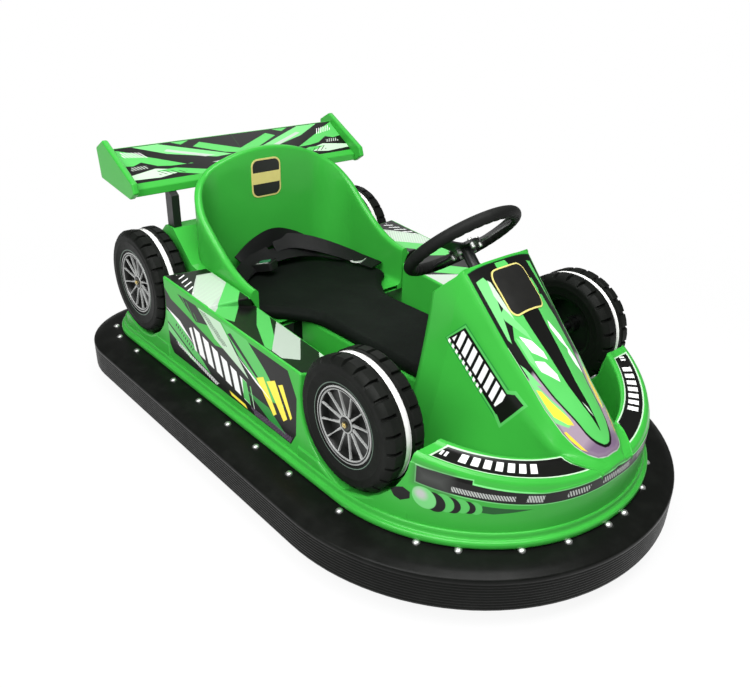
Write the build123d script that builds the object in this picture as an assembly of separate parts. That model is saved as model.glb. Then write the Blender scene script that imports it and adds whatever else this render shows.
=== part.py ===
"""Kart-styled bumper car: a moulded body on a steel frame inside a rubber bumper ring.

Millimetres. X points to the nose, Y to the driver's left, Z up. The origin is on the floor under the
middle of the bumper ring. The car stands on a steered drive wheel at the front and two running wheels at
the rear; the four large wheels beside the body are show wheels that hang clear of the floor.
"""
from build123d import *
import os
from collections import namedtuple
from math import atan2, cos, degrees, radians, sin, tan

# ---------------------------------------------------------------- driving dimensions
BUMPER_BOTTOM, BUMPER_EDGE, BUMPER_TOP = 50.0, 130.0, 144.0   # underside, outer crease, inner top edge
NOSE_HALF_ANGLE = 15.0        # half the angle of each outline's nose arc

Outline = namedtuple("Outline", "half_width front rear corner rear_corner")
BUMPER = Outline(527.0, 875.0, -875.0, 521.0, 254.0)
LIP = Outline(434.0, 810.0, -812.0, 420.0, 180.0)
PLINTH = Outline(424.0, 799.0, -802.0, 412.0, 170.0)
WALL = Outline(420.0, 795.0, -798.0, 410.0, 166.0)
WELL = Outline(412.0, 787.0, -790.0, 402.0, 158.0)

LIP_BOTTOM, LIP_TOP, PLINTH_TOP = 145.0, 163.0, 178.0
Scoop = namedtuple("Scoop", "x0 x1 inner top")
SCOOPS = [Scoop(232.5, 561.5, 300.0, 205.0), Scoop(-660.0, -375.5, 312.5, 222.0)]     # wells under the show wheels
FLOOR_BOTTOM, FLOOR_TOP = 150.0, 158.0
SKIN = 8.0                    # wall of the moulded shells
TOUCH = 0.5                   # gap between mating mouldings

WHEEL_R, WHEEL_WIDTH, RIM_R = 150.0, 104.0, 88.0
LUGS, LUG_WIDTH = 24, 32.4               # lugs in each of the tyre's two rows
SHOULDER_R, DRUM_R = 138.0, 144.5        # lugs at the wheel's face, and the drum that they stand on
LUG_START, LUG_END = 13.0, 35.0          # depths from the wheel's face
ARCH_R, ARCH_RISE = 165.0, 8.0           # wheel openings, and how far their centres lie above the wheels
Axle = namedtuple("Axle", "name x z outer_face")
FRONT_AXLE = Axle("front", 395.0, 338.0, 420.0)
REAR_AXLE = Axle("rear", -540.0, 355.5, 430.0)
STUB_R, RUNNING_GAP = 10.0, 0.05

SEAT_HALF, SEAT_WALL = 270.0, 22.0        # centre line of the bucket's wall, and its thickness
SEAT_BACK_X, SEAT_FRONT_X = -500.0, -152.0
SEAT_CORNER = 110.0
SEAT_TOP, SEAT_ARM_TOP = 702.0, 421.0
SEAT_FLOOR = 292.0
PAD_BOTTOM, PAD_TOP, PAD_TONGUE = 306.0, 336.0, 135.0
PEDAL_Y = 190.0
TUNNEL_HALF, TUNNEL_FRONT = 125.0, 430.0

WHEEL_CENTRE = (313.0, 0.0, 626.0)        # steering wheel
STEER_TILT = 46.7                         # its axis above the horizontal, leaning towards the driver
GRIP_R, GRIP_TUBE = 133.5, 14.5
SPOKE_TURNS, SPOKE_DROP = (55, 175, 295), 13.0
HUB_R, BOSS_R = 38.0, 14.0
SHAFT_R, SHAFT_LENGTH, SLEEVE_R = 11.0, 330.0, 24.0

DRIVE_X, DRIVE_R, DRIVE_WIDTH, DRIVE_BAY_R = 560.0, 85.0, 52.0, 135.0
TRAILING_X, TRAILING_R, TRAILING_Y, TRAILING_WIDTH = -430.0, 75.0, 232.0, 45.0
TYRE_FLATS = 24
RAIL_Y, RAIL_BOTTOM, RAIL = 165.0, 108.0, 40.0
CROSS_MEMBERS = [(-690, 300), (-200, 390), (395, 390), (690, 230)]      # station, half length

os.makedirs("parts", exist_ok=True)
LEFT, RIGHT = 1, -1
SIDES = (("left", LEFT), ("right", RIGHT))


# ---------------------------------------------------------------- helpers
def block(x0, x1, y0, y1, z0, z1):
    """A box between two corners."""
    return Pos((x0 + x1) / 2, (y0 + y1) / 2, (z0 + z1) / 2) * Box(x1 - x0, y1 - y0, z1 - z0)


def between(a, b, t):
    """The outline a share t of the way from a to b."""
    return Outline(*(p + (q - p) * t for p, q in zip(a, b)))


def outline_face(o, z):
    """A closed plan: nose arc, two corner arcs, straight flanks, rounded rear corners."""
    turn = radians(NOSE_HALF_ANGLE)
    beyond = o.half_width - o.corner
    nose_r = o.corner + beyond / sin(turn)
    nose_x = o.front - nose_r
    corner_x = nose_x + beyond / tan(turn)
    joint = (nose_x + nose_r * cos(turn), nose_r * sin(turn))
    half = (radians(90) + turn) / 2
    bend = (corner_x + o.corner * cos(half), beyond + o.corner * sin(half))
    tail_x, tail_y = o.rear + o.rear_corner, o.half_width - o.rear_corner
    slant = o.rear_corner * sin(radians(45))
    upper = [
        ThreePointArc(joint, bend, (corner_x, o.half_width)),
        Line((corner_x, o.half_width), (tail_x, o.half_width)),
        ThreePointArc((tail_x, o.half_width), (tail_x - slant, tail_y + slant), (o.rear, tail_y)),
    ]
    nose = ThreePointArc((joint[0], -joint[1]), (o.front, 0), joint)
    tail = Line((o.rear, tail_y), (o.rear, -tail_y))
    lower = [mirror(edge, about=Plane.XZ) for edge in upper]
    return Pos(0, 0, z) * make_face([nose, *upper, tail, *lower])


def slab(o, z0, z1):
    """An outline extruded between two heights."""
    return extrude(outline_face(o, z0), z1 - z0)


def side_profile(points, half_width):
    """A polygon in X and Z, extruded to both sides of the middle plane."""
    face = Plane.XZ * make_face(Polyline(*points, close=True))
    return extrude(face, half_width, both=True)


def across(radius, x, z, y0, y1):
    """A cylinder along Y between two stations."""
    return Pos(x, (y0 + y1) / 2, z) * Rot(90, 0, 0) * Cylinder(radius, abs(y1 - y0))


def section(x, half):
    """A closed symmetrical polygon in the plane at x, from its left half, top to bottom."""
    points = [(y, z) for y, z in half]
    points += [(-y, z) for y, z in reversed(half)]
    plane = Plane(origin=(x, 0, 0), x_dir=(0, 1, 0), z_dir=(1, 0, 0))
    return plane * make_face(Polyline(*points, close=True))


def save(name, shape):
    """Writes one node's STEP file."""
    shape.label = name
    export_step(shape, f"parts/{name}.step")


# ---------------------------------------------------------------- bumper
def bumper_ring():
    """Rubber ring: upright face, rounded shoulder, nearly flat top, open middle."""
    rows = [  # share of the way to the lip's outline, height
        (0.05, BUMPER_BOTTOM), (0.0, BUMPER_BOTTOM + 8), (0.0, BUMPER_EDGE - 4), (0.04, BUMPER_EDGE + 1),
        (0.20, BUMPER_EDGE + 7), (0.50, BUMPER_TOP - 3), (1.0, BUMPER_TOP),
    ]
    ring = loft([outline_face(between(BUMPER, LIP, t), z) for t, z in rows], ruled=True)
    return ring - slab(PLINTH, BUMPER_BOTTOM - 1, BUMPER_TOP + 1)


# ---------------------------------------------------------------- body mouldings
def base_tray():
    """Rolled lip, plinth and skirt round a floor, with the centre tunnel and the running gear's openings."""
    lip_rows = [(0.35, LIP_BOTTOM), (0.0, LIP_BOTTOM + 4), (0.0, LIP_TOP - 6), (0.3, LIP_TOP - 1.5), (0.9, LIP_TOP)]
    lip = loft([outline_face(between(LIP, PLINTH, t), z) for t, z in lip_rows], ruled=True)
    skirt = slab(between(PLINTH, WALL, 0.4), BUMPER_BOTTOM + 20, LIP_TOP)
    tray = lip + skirt + slab(PLINTH, LIP_TOP - 1, PLINTH_TOP)
    tray -= slab(WELL, BUMPER_BOTTOM, PLINTH_TOP + 1)
    tray += slab(between(WELL, WALL, 0.2), FLOOR_BOTTOM, FLOOR_TOP)
    tunnel = block(SEAT_FRONT_X + TOUCH, TUNNEL_FRONT, -TUNNEL_HALF, TUNNEL_HALF, FLOOR_TOP - 1, PAD_BOTTOM - TOUCH)
    hollow = block(SEAT_FRONT_X - 20, TUNNEL_FRONT - SKIN, -TUNNEL_HALF + SKIN, TUNNEL_HALF - SKIN,
                   FLOOR_BOTTOM - 1, PAD_BOTTOM - TOUCH - SKIN)
    tray = tray + tunnel - hollow
    tray -= Pos(DRIVE_X, 0, FLOOR_BOTTOM) * Cylinder(DRIVE_BAY_R, 40)
    tray -= block(-655, -250, -262, 262, FLOOR_BOTTOM - 1, FLOOR_TOP + 1)
    for s in SCOOPS:
        beside = block(s.x0, s.x1, s.inner, 450, 0, 400)
        tray += slab(WALL, FLOOR_TOP - 1, s.top) & (beside + mirror(beside, about=Plane.XZ))
    for cut in arches():
        tray -= cut
    return tray


def arches(gap=ARCH_R):
    """The four wheel openings, as cylinders to be cut away."""
    cuts = []
    for axle in (FRONT_AXLE, REAR_AXLE):
        for _, side in SIDES:
            cuts.append(across(gap, axle.x, axle.z + ARCH_RISE, side * 290, side * 480))
    return cuts


PodRow = namedtuple("PodRow", "x crease_y crease_z inner_y inner_z")
POD_ROWS = [
    PodRow(-375.0, 419.0, 427.0, 283.0, 418.0),
    PodRow(SEAT_FRONT_X, 414.0, 411.0, 283.0, 404.0),
    PodRow(SEAT_FRONT_X, 414.0, 411.0, 262.0, 370.0),
    PodRow(232.0, 404.0, 385.0, 262.0, 338.0),
]


def side_pod(side):
    """Moulded flank between the wheels: upright face, crease, top that falls inwards, inner wall."""
    pod = None
    for row, following in zip(POD_ROWS[::2], POD_ROWS[1::2]):
        faces = []
        for r in (row, following):
            plane = Plane(origin=(r.x, 0, 0), x_dir=(0, 1, 0), z_dir=(1, 0, 0))
            points = [(WALL.half_width - 2, PLINTH_TOP), (r.crease_y, r.crease_z), (r.inner_y, r.inner_z),
                      (r.inner_y, PLINTH_TOP)]
            faces.append(plane * make_face(Polyline(*[(side * y, z) for y, z in points], close=True)))
        piece = loft(faces, ruled=True)
        pod = piece if pod is None else pod + piece
    # the inner wall runs down to the floor beside the well
    foot = block(SEAT_FRONT_X, 232, 262, 406, FLOOR_TOP, PLINTH_TOP)
    pod += foot if side == LEFT else mirror(foot, about=Plane.XZ)
    for cut in arches():
        pod -= cut
    return pod


DASH_BOTTOM = (352.0, 548.0)              # lower edge of the dash facet, X and Z
CowlRow = namedtuple("CowlRow", "x panel top crown hip hip_z foot")
COWL_ROWS = [
    CowlRow(352.0, 107.0, 611.0, 10.0, 122.0, 548.0, 214.0),
    CowlRow(420.0, 105.0, 611.0, 10.0, 124.0, 540.0, 214.0),
    CowlRow(500.0, 99.5, 527.0, 26.0, 118.0, 470.0, 196.0),
    CowlRow(580.0, 93.5, 445.5, 31.5, 114.0, 395.0, 178.0),
    CowlRow(660.0, 86.0, 365.0, 36.5, 106.0, 330.0, 150.0),
    CowlRow(700.0, 80.0, 333.5, 34.5, 104.0, 304.0, 128.0),
    CowlRow(726.0, 70.0, 312.0, 31.0, 99.0, 298.5, 106.0),
    CowlRow(752.0, 54.5, 298.5, 16.5, 86.0, 291.5, 90.0),
    CowlRow(778.0, 25.0, 289.5, 2.5, 66.0, 284.0, 68.0),
]
CROWN_SHAPE = [(0.25, 0.96), (0.68, 0.56)]        # shares of the panel's half width and of its crown


def cowl_body(rows, inset=0.0, foot_z=PLINTH_TOP):
    """The nose as a ruled solid through its sections, each drawn in by inset."""
    faces = []
    for r in rows:
        half = [(r.panel * w, r.top + r.crown * h - inset) for w, h in CROWN_SHAPE]
        half += [(r.panel - inset * 0.5, r.top - inset), (r.hip - inset, r.hip_z - inset * 0.3),
                 (r.foot - inset, foot_z)]
        faces.append(section(r.x, half))
    return loft(faces, ruled=True)


def nose_cowl():
    """Hollow nose, open to the driver's feet, with a dash facet square to the steering column."""
    cowl = cowl_body(COWL_ROWS, foot_z=FLOOR_TOP)
    rows = [r for r in COWL_ROWS if r.x < 740]
    cowl -= cowl_body([r._replace(x=r.x - 1) if r is rows[0] else r for r in rows], inset=SKIN, foot_z=FLOOR_TOP - 1)
    (x0, z0), (x1, z1) = DASH_BOTTOM, (COWL_ROWS[1].x, COWL_ROWS[1].top)
    run = ((x1 - x0) ** 2 + (z1 - z0) ** 2) ** 0.5
    inward = (SKIN * (z1 - z0) / run, -SKIN * (x1 - x0) / run)
    dash = [(x0, z0), (x1, z1), (x1 + inward[0], z1 + inward[1]), (x0 + inward[0], z0 + inward[1])]
    behind = [(x0 - 10, z0 - 9), (x0 - 10, 700), (x1 + 30, 700), (x1 + 30, z1 + 27)]
    facet = side_profile(dash, 200) & cowl_body(COWL_ROWS, foot_z=FLOOR_TOP)
    cowl = (cowl + facet) - side_profile(behind, 300)
    cowl -= steering_axis() * Pos(0, 0, -125) * Cylinder(SLEEVE_R + TOUCH, 110)
    return cowl - Pos(DRIVE_X, 0, FLOOR_TOP) * Cylinder(DRIVE_BAY_R, 30)


SHELF_INNER = Outline(340.0, 733.0, -740.0, 340.0, 90.0)
SHELF_TOP = [(560.0, 343.2), (900.0, 248.0)]      # the plane of the shelf's top, X and Z
SHELF_END = 562.0


def front_fairing():
    """Crescent shelf round the nose: upright outer wall, top that falls forwards, inner wall."""
    fairing = slab(WALL, PLINTH_TOP, SHELF_TOP[0][1] + 2) - slab(SHELF_INNER, 100, 400)
    (x0, z0), (x1, z1) = SHELF_TOP
    fairing -= side_profile([(x0, z0), (x1, z1), (x1, 500), (x0, 500)], 600)
    fairing -= block(-900, SHELF_END, -600, 600, 100, 500)
    fairing -= cowl_body([r._replace(x=r.x + (TOUCH if r.x > 760 else 0)) for r in COWL_ROWS], inset=-TOUCH)
    for cut in arches():
        fairing -= cut
    return fairing


def bucket_plan(grow, front):
    """The seat's plan, a U closed at the front, drawn out by grow from the wall's centre line."""
    half, back, corner = SEAT_HALF + grow, SEAT_BACK_X - grow, SEAT_CORNER + grow
    slant = corner * sin(radians(45))
    cx, cy = back + corner, half - corner
    upper = [Line((front, half), (cx, half)), ThreePointArc((cx, half), (cx - slant, cy + slant), (back, cy))]
    lower = [mirror(edge, about=Plane.XZ) for edge in upper]
    return make_face([Line((front, -half), (front, half)), *upper, Line((back, cy), (back, -cy)), *lower])


def bucket(grow, front, z0, z1):
    """The bucket's plan extruded between two heights."""
    return extrude(Pos(0, 0, z0) * bucket_plan(grow, front), z1 - z0)


def seat_shell():
    """Bucket with a high arched back, arms that sweep down to the pods, and a floor."""
    half = SEAT_WALL / 2
    shell = bucket(half, SEAT_FRONT_X, SEAT_FLOOR, SEAT_TOP + 5)
    shell -= bucket(-half, SEAT_FRONT_X + 1, PAD_BOTTOM - TOUCH, SEAT_TOP + 6)
    arc_r, arc_x, slope = 300.0, -140.0, 1.03
    bend = atan2(slope, 1)
    join = (arc_x - arc_r * sin(bend), SEAT_ARM_TOP + arc_r * (1 - cos(bend)))
    middle = (arc_x - arc_r * sin(bend / 2), SEAT_ARM_TOP + arc_r * (1 - cos(bend / 2)))
    rise = join[0] - (SEAT_BACK_X + half)
    end = (join[0] - rise, join[1] + rise * slope)
    above = SEAT_TOP + 50
    edges = [ThreePointArc((arc_x, SEAT_ARM_TOP), middle, join), Line(join, end), Line(end, (end[0], above)),
             Line((end[0], above), (arc_x, above)), Line((arc_x, above), (arc_x, SEAT_ARM_TOP))]
    shell -= extrude(Plane.XZ * make_face(edges), 400, both=True)
    crown_r = 440.0
    crown = Pos(-400, 0, SEAT_TOP - crown_r) * Rot(0, 90, 0) * Cylinder(crown_r, 600)
    keep = crown + block(-700, -100, -400, 400, 200, SEAT_TOP - crown_r)
    return shell & keep


DECK_TOP = 496.0
DECK = [(-376.0, FLOOR_TOP), (-376.0, 414.0), (-414.0, 420.0), (-526.0, DECK_TOP), (-572.0, DECK_TOP),
        (-735.0, 330.0), (-765.0, FLOOR_TOP)]
DECK_HALF, DECK_TOP_HALF = 312.0, 300.0   # the sides lean in above the show wheels' axles
DECK_LEAN_Z = 400.0


def rear_deck():
    """Hollow cover behind the seat, between the rear show wheels, that carries the spoiler's struts."""
    inner = [(-384, FLOOR_TOP - 1), (-384, 408), (-416, 413), (-529, DECK_TOP - SKIN), (-568, DECK_TOP - SKIN),
             (-726, 326), (-756, FLOOR_TOP - 1)]
    deck = side_profile(DECK, DECK_HALF) - side_profile(inner, DECK_HALF - SKIN - (DECK_HALF - DECK_TOP_HALF))
    lean = [(DECK_TOP_HALF, DECK_TOP + 1), (DECK_HALF, DECK_LEAN_Z), (DECK_HALF, FLOOR_TOP)]
    deck &= extrude(section(-900, lean), 900)
    return deck - bucket(SEAT_WALL / 2 + TOUCH, 0, 100, 800)


# ---------------------------------------------------------------- spoiler
BLADE = [(-681.0, 707.0), (-542.0, 614.0)]      # rear top edge, front edge
BLADE_HALF, BLADE_THICK = 392.0, 20.0
STRUT_Y = 282.0


def spoiler_blade():
    """A flat slab that rises to the rear."""
    (x0, z0), (x1, z1) = BLADE
    return side_profile([(x0, z0), (x1, z1 + 6), (x1, z1 - 16), (x0 + 4, z0 - BLADE_THICK)], BLADE_HALF)


PLATE = [(-735.0, 705.0), (-686.0, 732.0), (-521.0, 644.0), (-512.0, 616.0), (-545.0, 594.0), (-724.0, 618.0)]
PLATE_THICK = 18.0


def end_plate(side):
    """A six-sided plate across the blade's end."""
    face = Plane.XZ * make_face(Polyline(*PLATE, close=True))
    plate = extrude(face, PLATE_THICK)       # towards -Y
    y = side * (BLADE_HALF + TOUCH) + (PLATE_THICK if side == LEFT else 0)
    return Pos(0, y, 0) * plate


def spoiler_strut(side):
    """A square tube from the deck to the blade."""
    strut = block(-566, -530, side * STRUT_Y - 12, side * STRUT_Y + 12, DECK_TOP + TOUCH, 650)
    (x0, z0), (x1, z1) = BLADE
    above = side_profile([(x0 + 4, z0 - BLADE_THICK - TOUCH), (x1, z1 - 16 - TOUCH), (x1 + 60, z1 - 60), (x1 + 60, 900),
                          (x0, 900)], 500)
    return strut - above


# ---------------------------------------------------------------- seat pad and harness
def seat_pad():
    """One flat pad: wide in the bucket, then a tongue along the tunnel."""
    x, back = SEAT_FRONT_X - 38, SEAT_FRONT_X - 60
    wide = bucket(-SEAT_WALL / 2 - 3, x, PAD_BOTTOM, PAD_TOP)
    half = [(x, 243), (-170, 224), (-111, 170), (-60, 140), (-10, PAD_TONGUE), (TUNNEL_FRONT - 10, PAD_TONGUE)]
    plan = [(back, 243), *half, *[(px, -py) for px, py in reversed(half)], (back, -243)]
    return wide + extrude(Pos(0, 0, PAD_BOTTOM) * make_face(Polyline(*plan, close=True)), PAD_TOP - PAD_BOTTOM)


def foot_pedal():
    """Fixed bent plate under the driver's right foot."""
    bent = [(300, FLOOR_TOP + TOUCH), (344, FLOOR_TOP + TOUCH), (344, 166), (338, 166), (316, 244), (306, 241), (326, 166),
            (300, 166)]
    return Pos(0, -PEDAL_Y, 0) * side_profile(bent, 26)


# ---------------------------------------------------------------- steering
def steering_axis():
    """Frame at the steering wheel's centre, its Z along the column towards the driver."""
    return Pos(*WHEEL_CENTRE) * Rot(0, -(90 - STEER_TILT), 0)


def steering_rim():
    """The round grip."""
    return steering_axis() * Torus(GRIP_R, GRIP_TUBE)


def steering_spokes():
    """Three flat spokes from the grip to the hub plate, which sits below the grip's plane."""
    spider = Pos(0, 0, -SPOKE_DROP) * Cylinder(HUB_R, 8)
    for turn in SPOKE_TURNS:
        arm = loft([Plane(origin=(30, 0, -SPOKE_DROP), z_dir=(1, 0, 0)) * Rectangle(7, 34),
                    Plane(origin=(GRIP_R - GRIP_TUBE + 1, 0, -4), z_dir=(1, 0, 0)) * Rectangle(7, 24)])
        spider += Rot(0, 0, turn) * arm
    return steering_axis() * (spider - Torus(GRIP_R, GRIP_TUBE))


def steering_shaft():
    """Hub boss and shaft, down to its lower bearing inside the nose."""
    top = -SPOKE_DROP - 4
    boss = Pos(0, 0, (top - 72) / 2) * Cylinder(BOSS_R, top + 72)
    shaft = Pos(0, 0, -72 - (SHAFT_LENGTH - 40) / 2) * Cylinder(SHAFT_R, SHAFT_LENGTH - 40)
    return steering_axis() * (boss + shaft)


def column_housing():
    """Moulded sleeve that stands out of the dash round the shaft."""
    sleeve = Pos(0, 0, -125) * (Cylinder(SLEEVE_R, 60) - Cylinder(SHAFT_R + RUNNING_GAP, 60))
    return steering_axis() * sleeve


# ---------------------------------------------------------------- frame and running gear
def chassis_frame():
    """Two rails, cross members, the king-pin bridge over the drive wheel and the rear axle's hangers."""
    top = RAIL_BOTTOM + RAIL
    frame = block(-700, 720, RAIL_Y - RAIL / 2, RAIL_Y + RAIL / 2, RAIL_BOTTOM, top)
    frame += mirror(frame, about=Plane.XZ)
    for x, half in CROSS_MEMBERS:
        frame += block(x - RAIL / 2, x + RAIL / 2, -half, half, RAIL_BOTTOM, top)
    for _, s in SIDES:
        frame += block(DRIVE_X - 20, DRIVE_X + 20, s * 120 - 8, s * 120 + 8, RAIL_BOTTOM, 240)
        frame += block(DRIVE_X - 20, DRIVE_X + 20, s * 132 - 15, s * 132 + 15, RAIL_BOTTOM, top)
        frame += block(TRAILING_X - 25, TRAILING_X + 25, s * 165 - 6, s * 165 + 6, 55, RAIL_BOTTOM + 1)
    frame += block(DRIVE_X - 30, DRIVE_X + 30, -128, 128, 228, 240)
    frame -= Pos(DRIVE_X, 0, 234) * Cylinder(STUB_R + RUNNING_GAP, 30)
    frame -= across(STUB_R, TRAILING_X, TRAILING_R, -260, 260)
    return frame


def stub_axle(axle, side):
    """Post or flange on the body, and the pin that the show wheel turns on."""
    outer = axle.outer_face - 22
    if axle is FRONT_AXLE:
        pin = across(STUB_R, axle.x, axle.z, side * 270, side * outer)
        post = block(axle.x - 15, axle.x + 15, 268, 292, FLOOR_TOP + TOUCH, axle.z + 18)
        post += block(axle.x - 40, axle.x + 40, 262, 298, FLOOR_TOP + TOUCH, FLOOR_TOP + 8)
    else:
        pin = across(STUB_R, axle.x, axle.z, side * 312.5, side * outer)
        post = across(26, axle.x, axle.z, 312.5, 319.5)
    collar = across(16, axle.x, axle.z, side * 318, side * (axle.outer_face - WHEEL_WIDTH + 20))
    return pin + (post if side == LEFT else mirror(post, about=Plane.XZ)) + collar


def lugged(crown, drum, depth):
    """Outline of a ring of lugs: flat crowns, with the drum's flats between them."""
    half = radians(180 / LUGS)
    root = (drum - LUG_WIDTH / 2 * sin(half)) / cos(half)
    points = []
    for k in range(LUGS):
        turn = 2 * half * k
        for r, w in ((root, -LUG_WIDTH / 2), (crown, -LUG_WIDTH / 2), (crown, LUG_WIDTH / 2), (root, LUG_WIDTH / 2)):
            points.append((r * cos(turn) - w * sin(turn), r * sin(turn) + w * cos(turn), depth))
    return make_face(Polyline(*points, close=True))


def show_tyre(axle, side):
    """Thick tyre: a drum with two rows of flat lugs, bevelled down to the sidewall on the outer face."""
    drum, bore = (RegularPolygon(r, LUGS, major_radius=False, rotation=180 / LUGS) for r in (DRUM_R, RIM_R + RUNNING_GAP))
    inner = WHEEL_WIDTH - LUG_END
    tyre = loft([lugged(SHOULDER_R, SHOULDER_R - 3, 0), lugged(WHEEL_R, DRUM_R, LUG_START)], ruled=True)
    tyre += extrude(lugged(WHEEL_R, DRUM_R, LUG_START), LUG_END - LUG_START)
    tyre += extrude(Pos(0, 0, LUG_END) * drum, inner - LUG_END)
    tyre += extrude(lugged(WHEEL_R, DRUM_R, inner), LUG_END)
    tyre -= extrude(Pos(0, 0, -1) * bore, WHEEL_WIDTH + 2)
    return Pos(axle.x, side * axle.outer_face, axle.z) * Rot(side * 90, 0, 0) * tyre


def show_rim(axle, side):
    """Dished rim with thin spokes round a small hub."""
    face = axle.outer_face - 5
    inner = axle.outer_face - WHEEL_WIDTH + 22

    def disc(radius, y0, y1):
        return across(radius, axle.x, axle.z, side * y0, side * y1)

    rim = disc(RIM_R, inner, face) - disc(RIM_R - 8, inner - 1, face + 1)
    rim += disc(RIM_R - 4, face - 30, face - 24)                     # the dark disc behind the spokes
    rim += disc(20, inner, face - 6)
    for k in range(12):
        spoke = block(axle.x + 16, axle.x + RIM_R - 6, side * (face - 14) - 3, side * (face - 14) + 3, axle.z - 2.5,
                      axle.z + 2.5)
        rim += Pos(axle.x, 0, axle.z) * Rot(0, 30 * k, 0) * Pos(-axle.x, 0, -axle.z) * spoke
    return rim - disc(STUB_R + RUNNING_GAP, inner - 1, axle.outer_face - 21)


def drive_fork():
    """Steered fork: king pin, top plate, two arms."""
    fork = Pos(DRIVE_X, 0, 214) * Cylinder(70, 10)
    fork += Pos(DRIVE_X, 0, 234) * Cylinder(STUB_R, 42)
    for _, s in SIDES:
        fork += block(DRIVE_X - 22, DRIVE_X + 22, s * 40 - 5, s * 40 + 5, 60, 212)
    return fork - across(STUB_R + RUNNING_GAP, DRIVE_X, DRIVE_R, -60, 60)


def drive_hub():
    """Hub motor with its axle ends in the fork."""
    return across(58, DRIVE_X, DRIVE_R, -24, 24) + across(STUB_R, DRIVE_X, DRIVE_R, -52, 52)


def tyre_ring(x, radius, bore, y, width):
    """A plain solid tyre, flat-sided so that it stays light."""
    outer, inner = (RegularPolygon(r, TYRE_FLATS, major_radius=False, rotation=180 / TYRE_FLATS) for r in (radius, bore))
    return Pos(x, y, radius) * Rot(90, 0, 0) * extrude(outer - inner, width / 2, both=True)


def rear_axle():
    """Fixed rod through the hangers."""
    return across(STUB_R, TRAILING_X, TRAILING_R, -258, 258)


def trailing_hub(side):
    """Plain wheel disc on the rear axle."""
    y = side * TRAILING_Y
    half = TRAILING_WIDTH / 2
    hub = across(45, TRAILING_X, TRAILING_R, y - half, y + half)
    return hub - across(STUB_R + RUNNING_GAP, TRAILING_X, TRAILING_R, y - half - 1, y + half + 1)


# ---------------------------------------------------------------- build
save("bumper_ring", bumper_ring())
save("base_tray", base_tray())
for label, sign in SIDES:
    save(f"side_pod_{label}", side_pod(sign))
save("nose_cowl", nose_cowl())
save("front_fairing", front_fairing())
save("seat_shell", seat_shell())
save("rear_deck", rear_deck())
save("spoiler_blade", spoiler_blade())
for label, sign in SIDES:
    save(f"spoiler_end_plate_{label}", end_plate(sign))
    save(f"spoiler_strut_{label}", spoiler_strut(sign))
save("seat_pad", seat_pad())
save("foot_pedal", foot_pedal())
save("steering_rim", steering_rim())
save("steering_spokes", steering_spokes())
save("steering_shaft", steering_shaft())
save("column_housing", column_housing())
save("chassis_frame", chassis_frame())
for axle in (FRONT_AXLE, REAR_AXLE):
    for label, sign in SIDES:
        save(f"stub_axle_{axle.name}_{label}", stub_axle(axle, sign))
        save(f"show_tyre_{axle.name}_{label}", show_tyre(axle, sign))
        save(f"show_rim_{axle.name}_{label}", show_rim(axle, sign))
save("drive_fork", drive_fork())
save("drive_hub", drive_hub())
save("drive_tyre", tyre_ring(DRIVE_X, DRIVE_R, 58, 0, DRIVE_WIDTH))
save("rear_axle", rear_axle())
for label, sign in SIDES:
    save(f"trailing_hub_{label}", trailing_hub(sign))
    save(f"trailing_tyre_{label}", tyre_ring(TRAILING_X, TRAILING_R, 45, sign * TRAILING_Y, TRAILING_WIDTH))
save("battery_box", block(-350, -180, -130, 130, FLOOR_TOP + TOUCH, SEAT_FLOOR - 12))
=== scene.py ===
"""Looks of a kart-styled bumper car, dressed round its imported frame.

Sizes are in millimetres in the frame's axes: X to the nose, Y to the driver's left, Z up. They become
metres when a piece's mesh is made. Each sub-assembly is a class, each finish a frozen dataclass.
"""
from __future__ import annotations

import logging
import math
from dataclasses import dataclass, field, replace
from enum import Enum
from functools import lru_cache
from typing import Any, Callable, Iterable, Sequence, Union

import bmesh
import bpy
from mathutils import Matrix, Vector

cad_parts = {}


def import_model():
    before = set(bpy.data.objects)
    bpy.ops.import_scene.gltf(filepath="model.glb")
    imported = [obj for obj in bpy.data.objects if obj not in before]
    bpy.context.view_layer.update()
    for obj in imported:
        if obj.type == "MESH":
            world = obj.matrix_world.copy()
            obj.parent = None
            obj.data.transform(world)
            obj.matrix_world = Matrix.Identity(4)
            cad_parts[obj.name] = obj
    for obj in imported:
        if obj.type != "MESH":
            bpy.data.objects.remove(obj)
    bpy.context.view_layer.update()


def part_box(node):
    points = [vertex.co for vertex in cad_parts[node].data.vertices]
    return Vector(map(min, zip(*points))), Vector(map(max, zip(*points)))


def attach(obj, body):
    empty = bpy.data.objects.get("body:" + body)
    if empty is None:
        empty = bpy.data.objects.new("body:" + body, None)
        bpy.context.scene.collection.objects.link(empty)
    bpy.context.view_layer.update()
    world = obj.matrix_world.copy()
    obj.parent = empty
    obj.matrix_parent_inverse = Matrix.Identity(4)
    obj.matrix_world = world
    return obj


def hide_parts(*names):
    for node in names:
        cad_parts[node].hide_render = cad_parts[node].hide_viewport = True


LOG = logging.getLogger("bumper_car")
MM = 0.001
SHELF_HEIGHT, SHELF_FALL = 500.0, 0.28
Point3 = tuple[float, float, float]
Colour = Point3
Sizes = tuple[float, ...]
Number = Union[float, "Value"]
Tint = Union[Colour, "Value"]
Point = tuple[float, float]
Corners = tuple[Point, ...]
Row = Sequence[Vector]


class Side(Enum):
    """The driver's left and right, as signs along Y."""

    LEFT = 1
    RIGHT = -1

    @property
    def label(self) -> str:
        """The side's plain name."""
        return self.name.lower()


class Corner(Enum):
    """The two axles that the show wheels hang on."""

    FRONT = "front"
    REAR = "rear"


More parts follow.
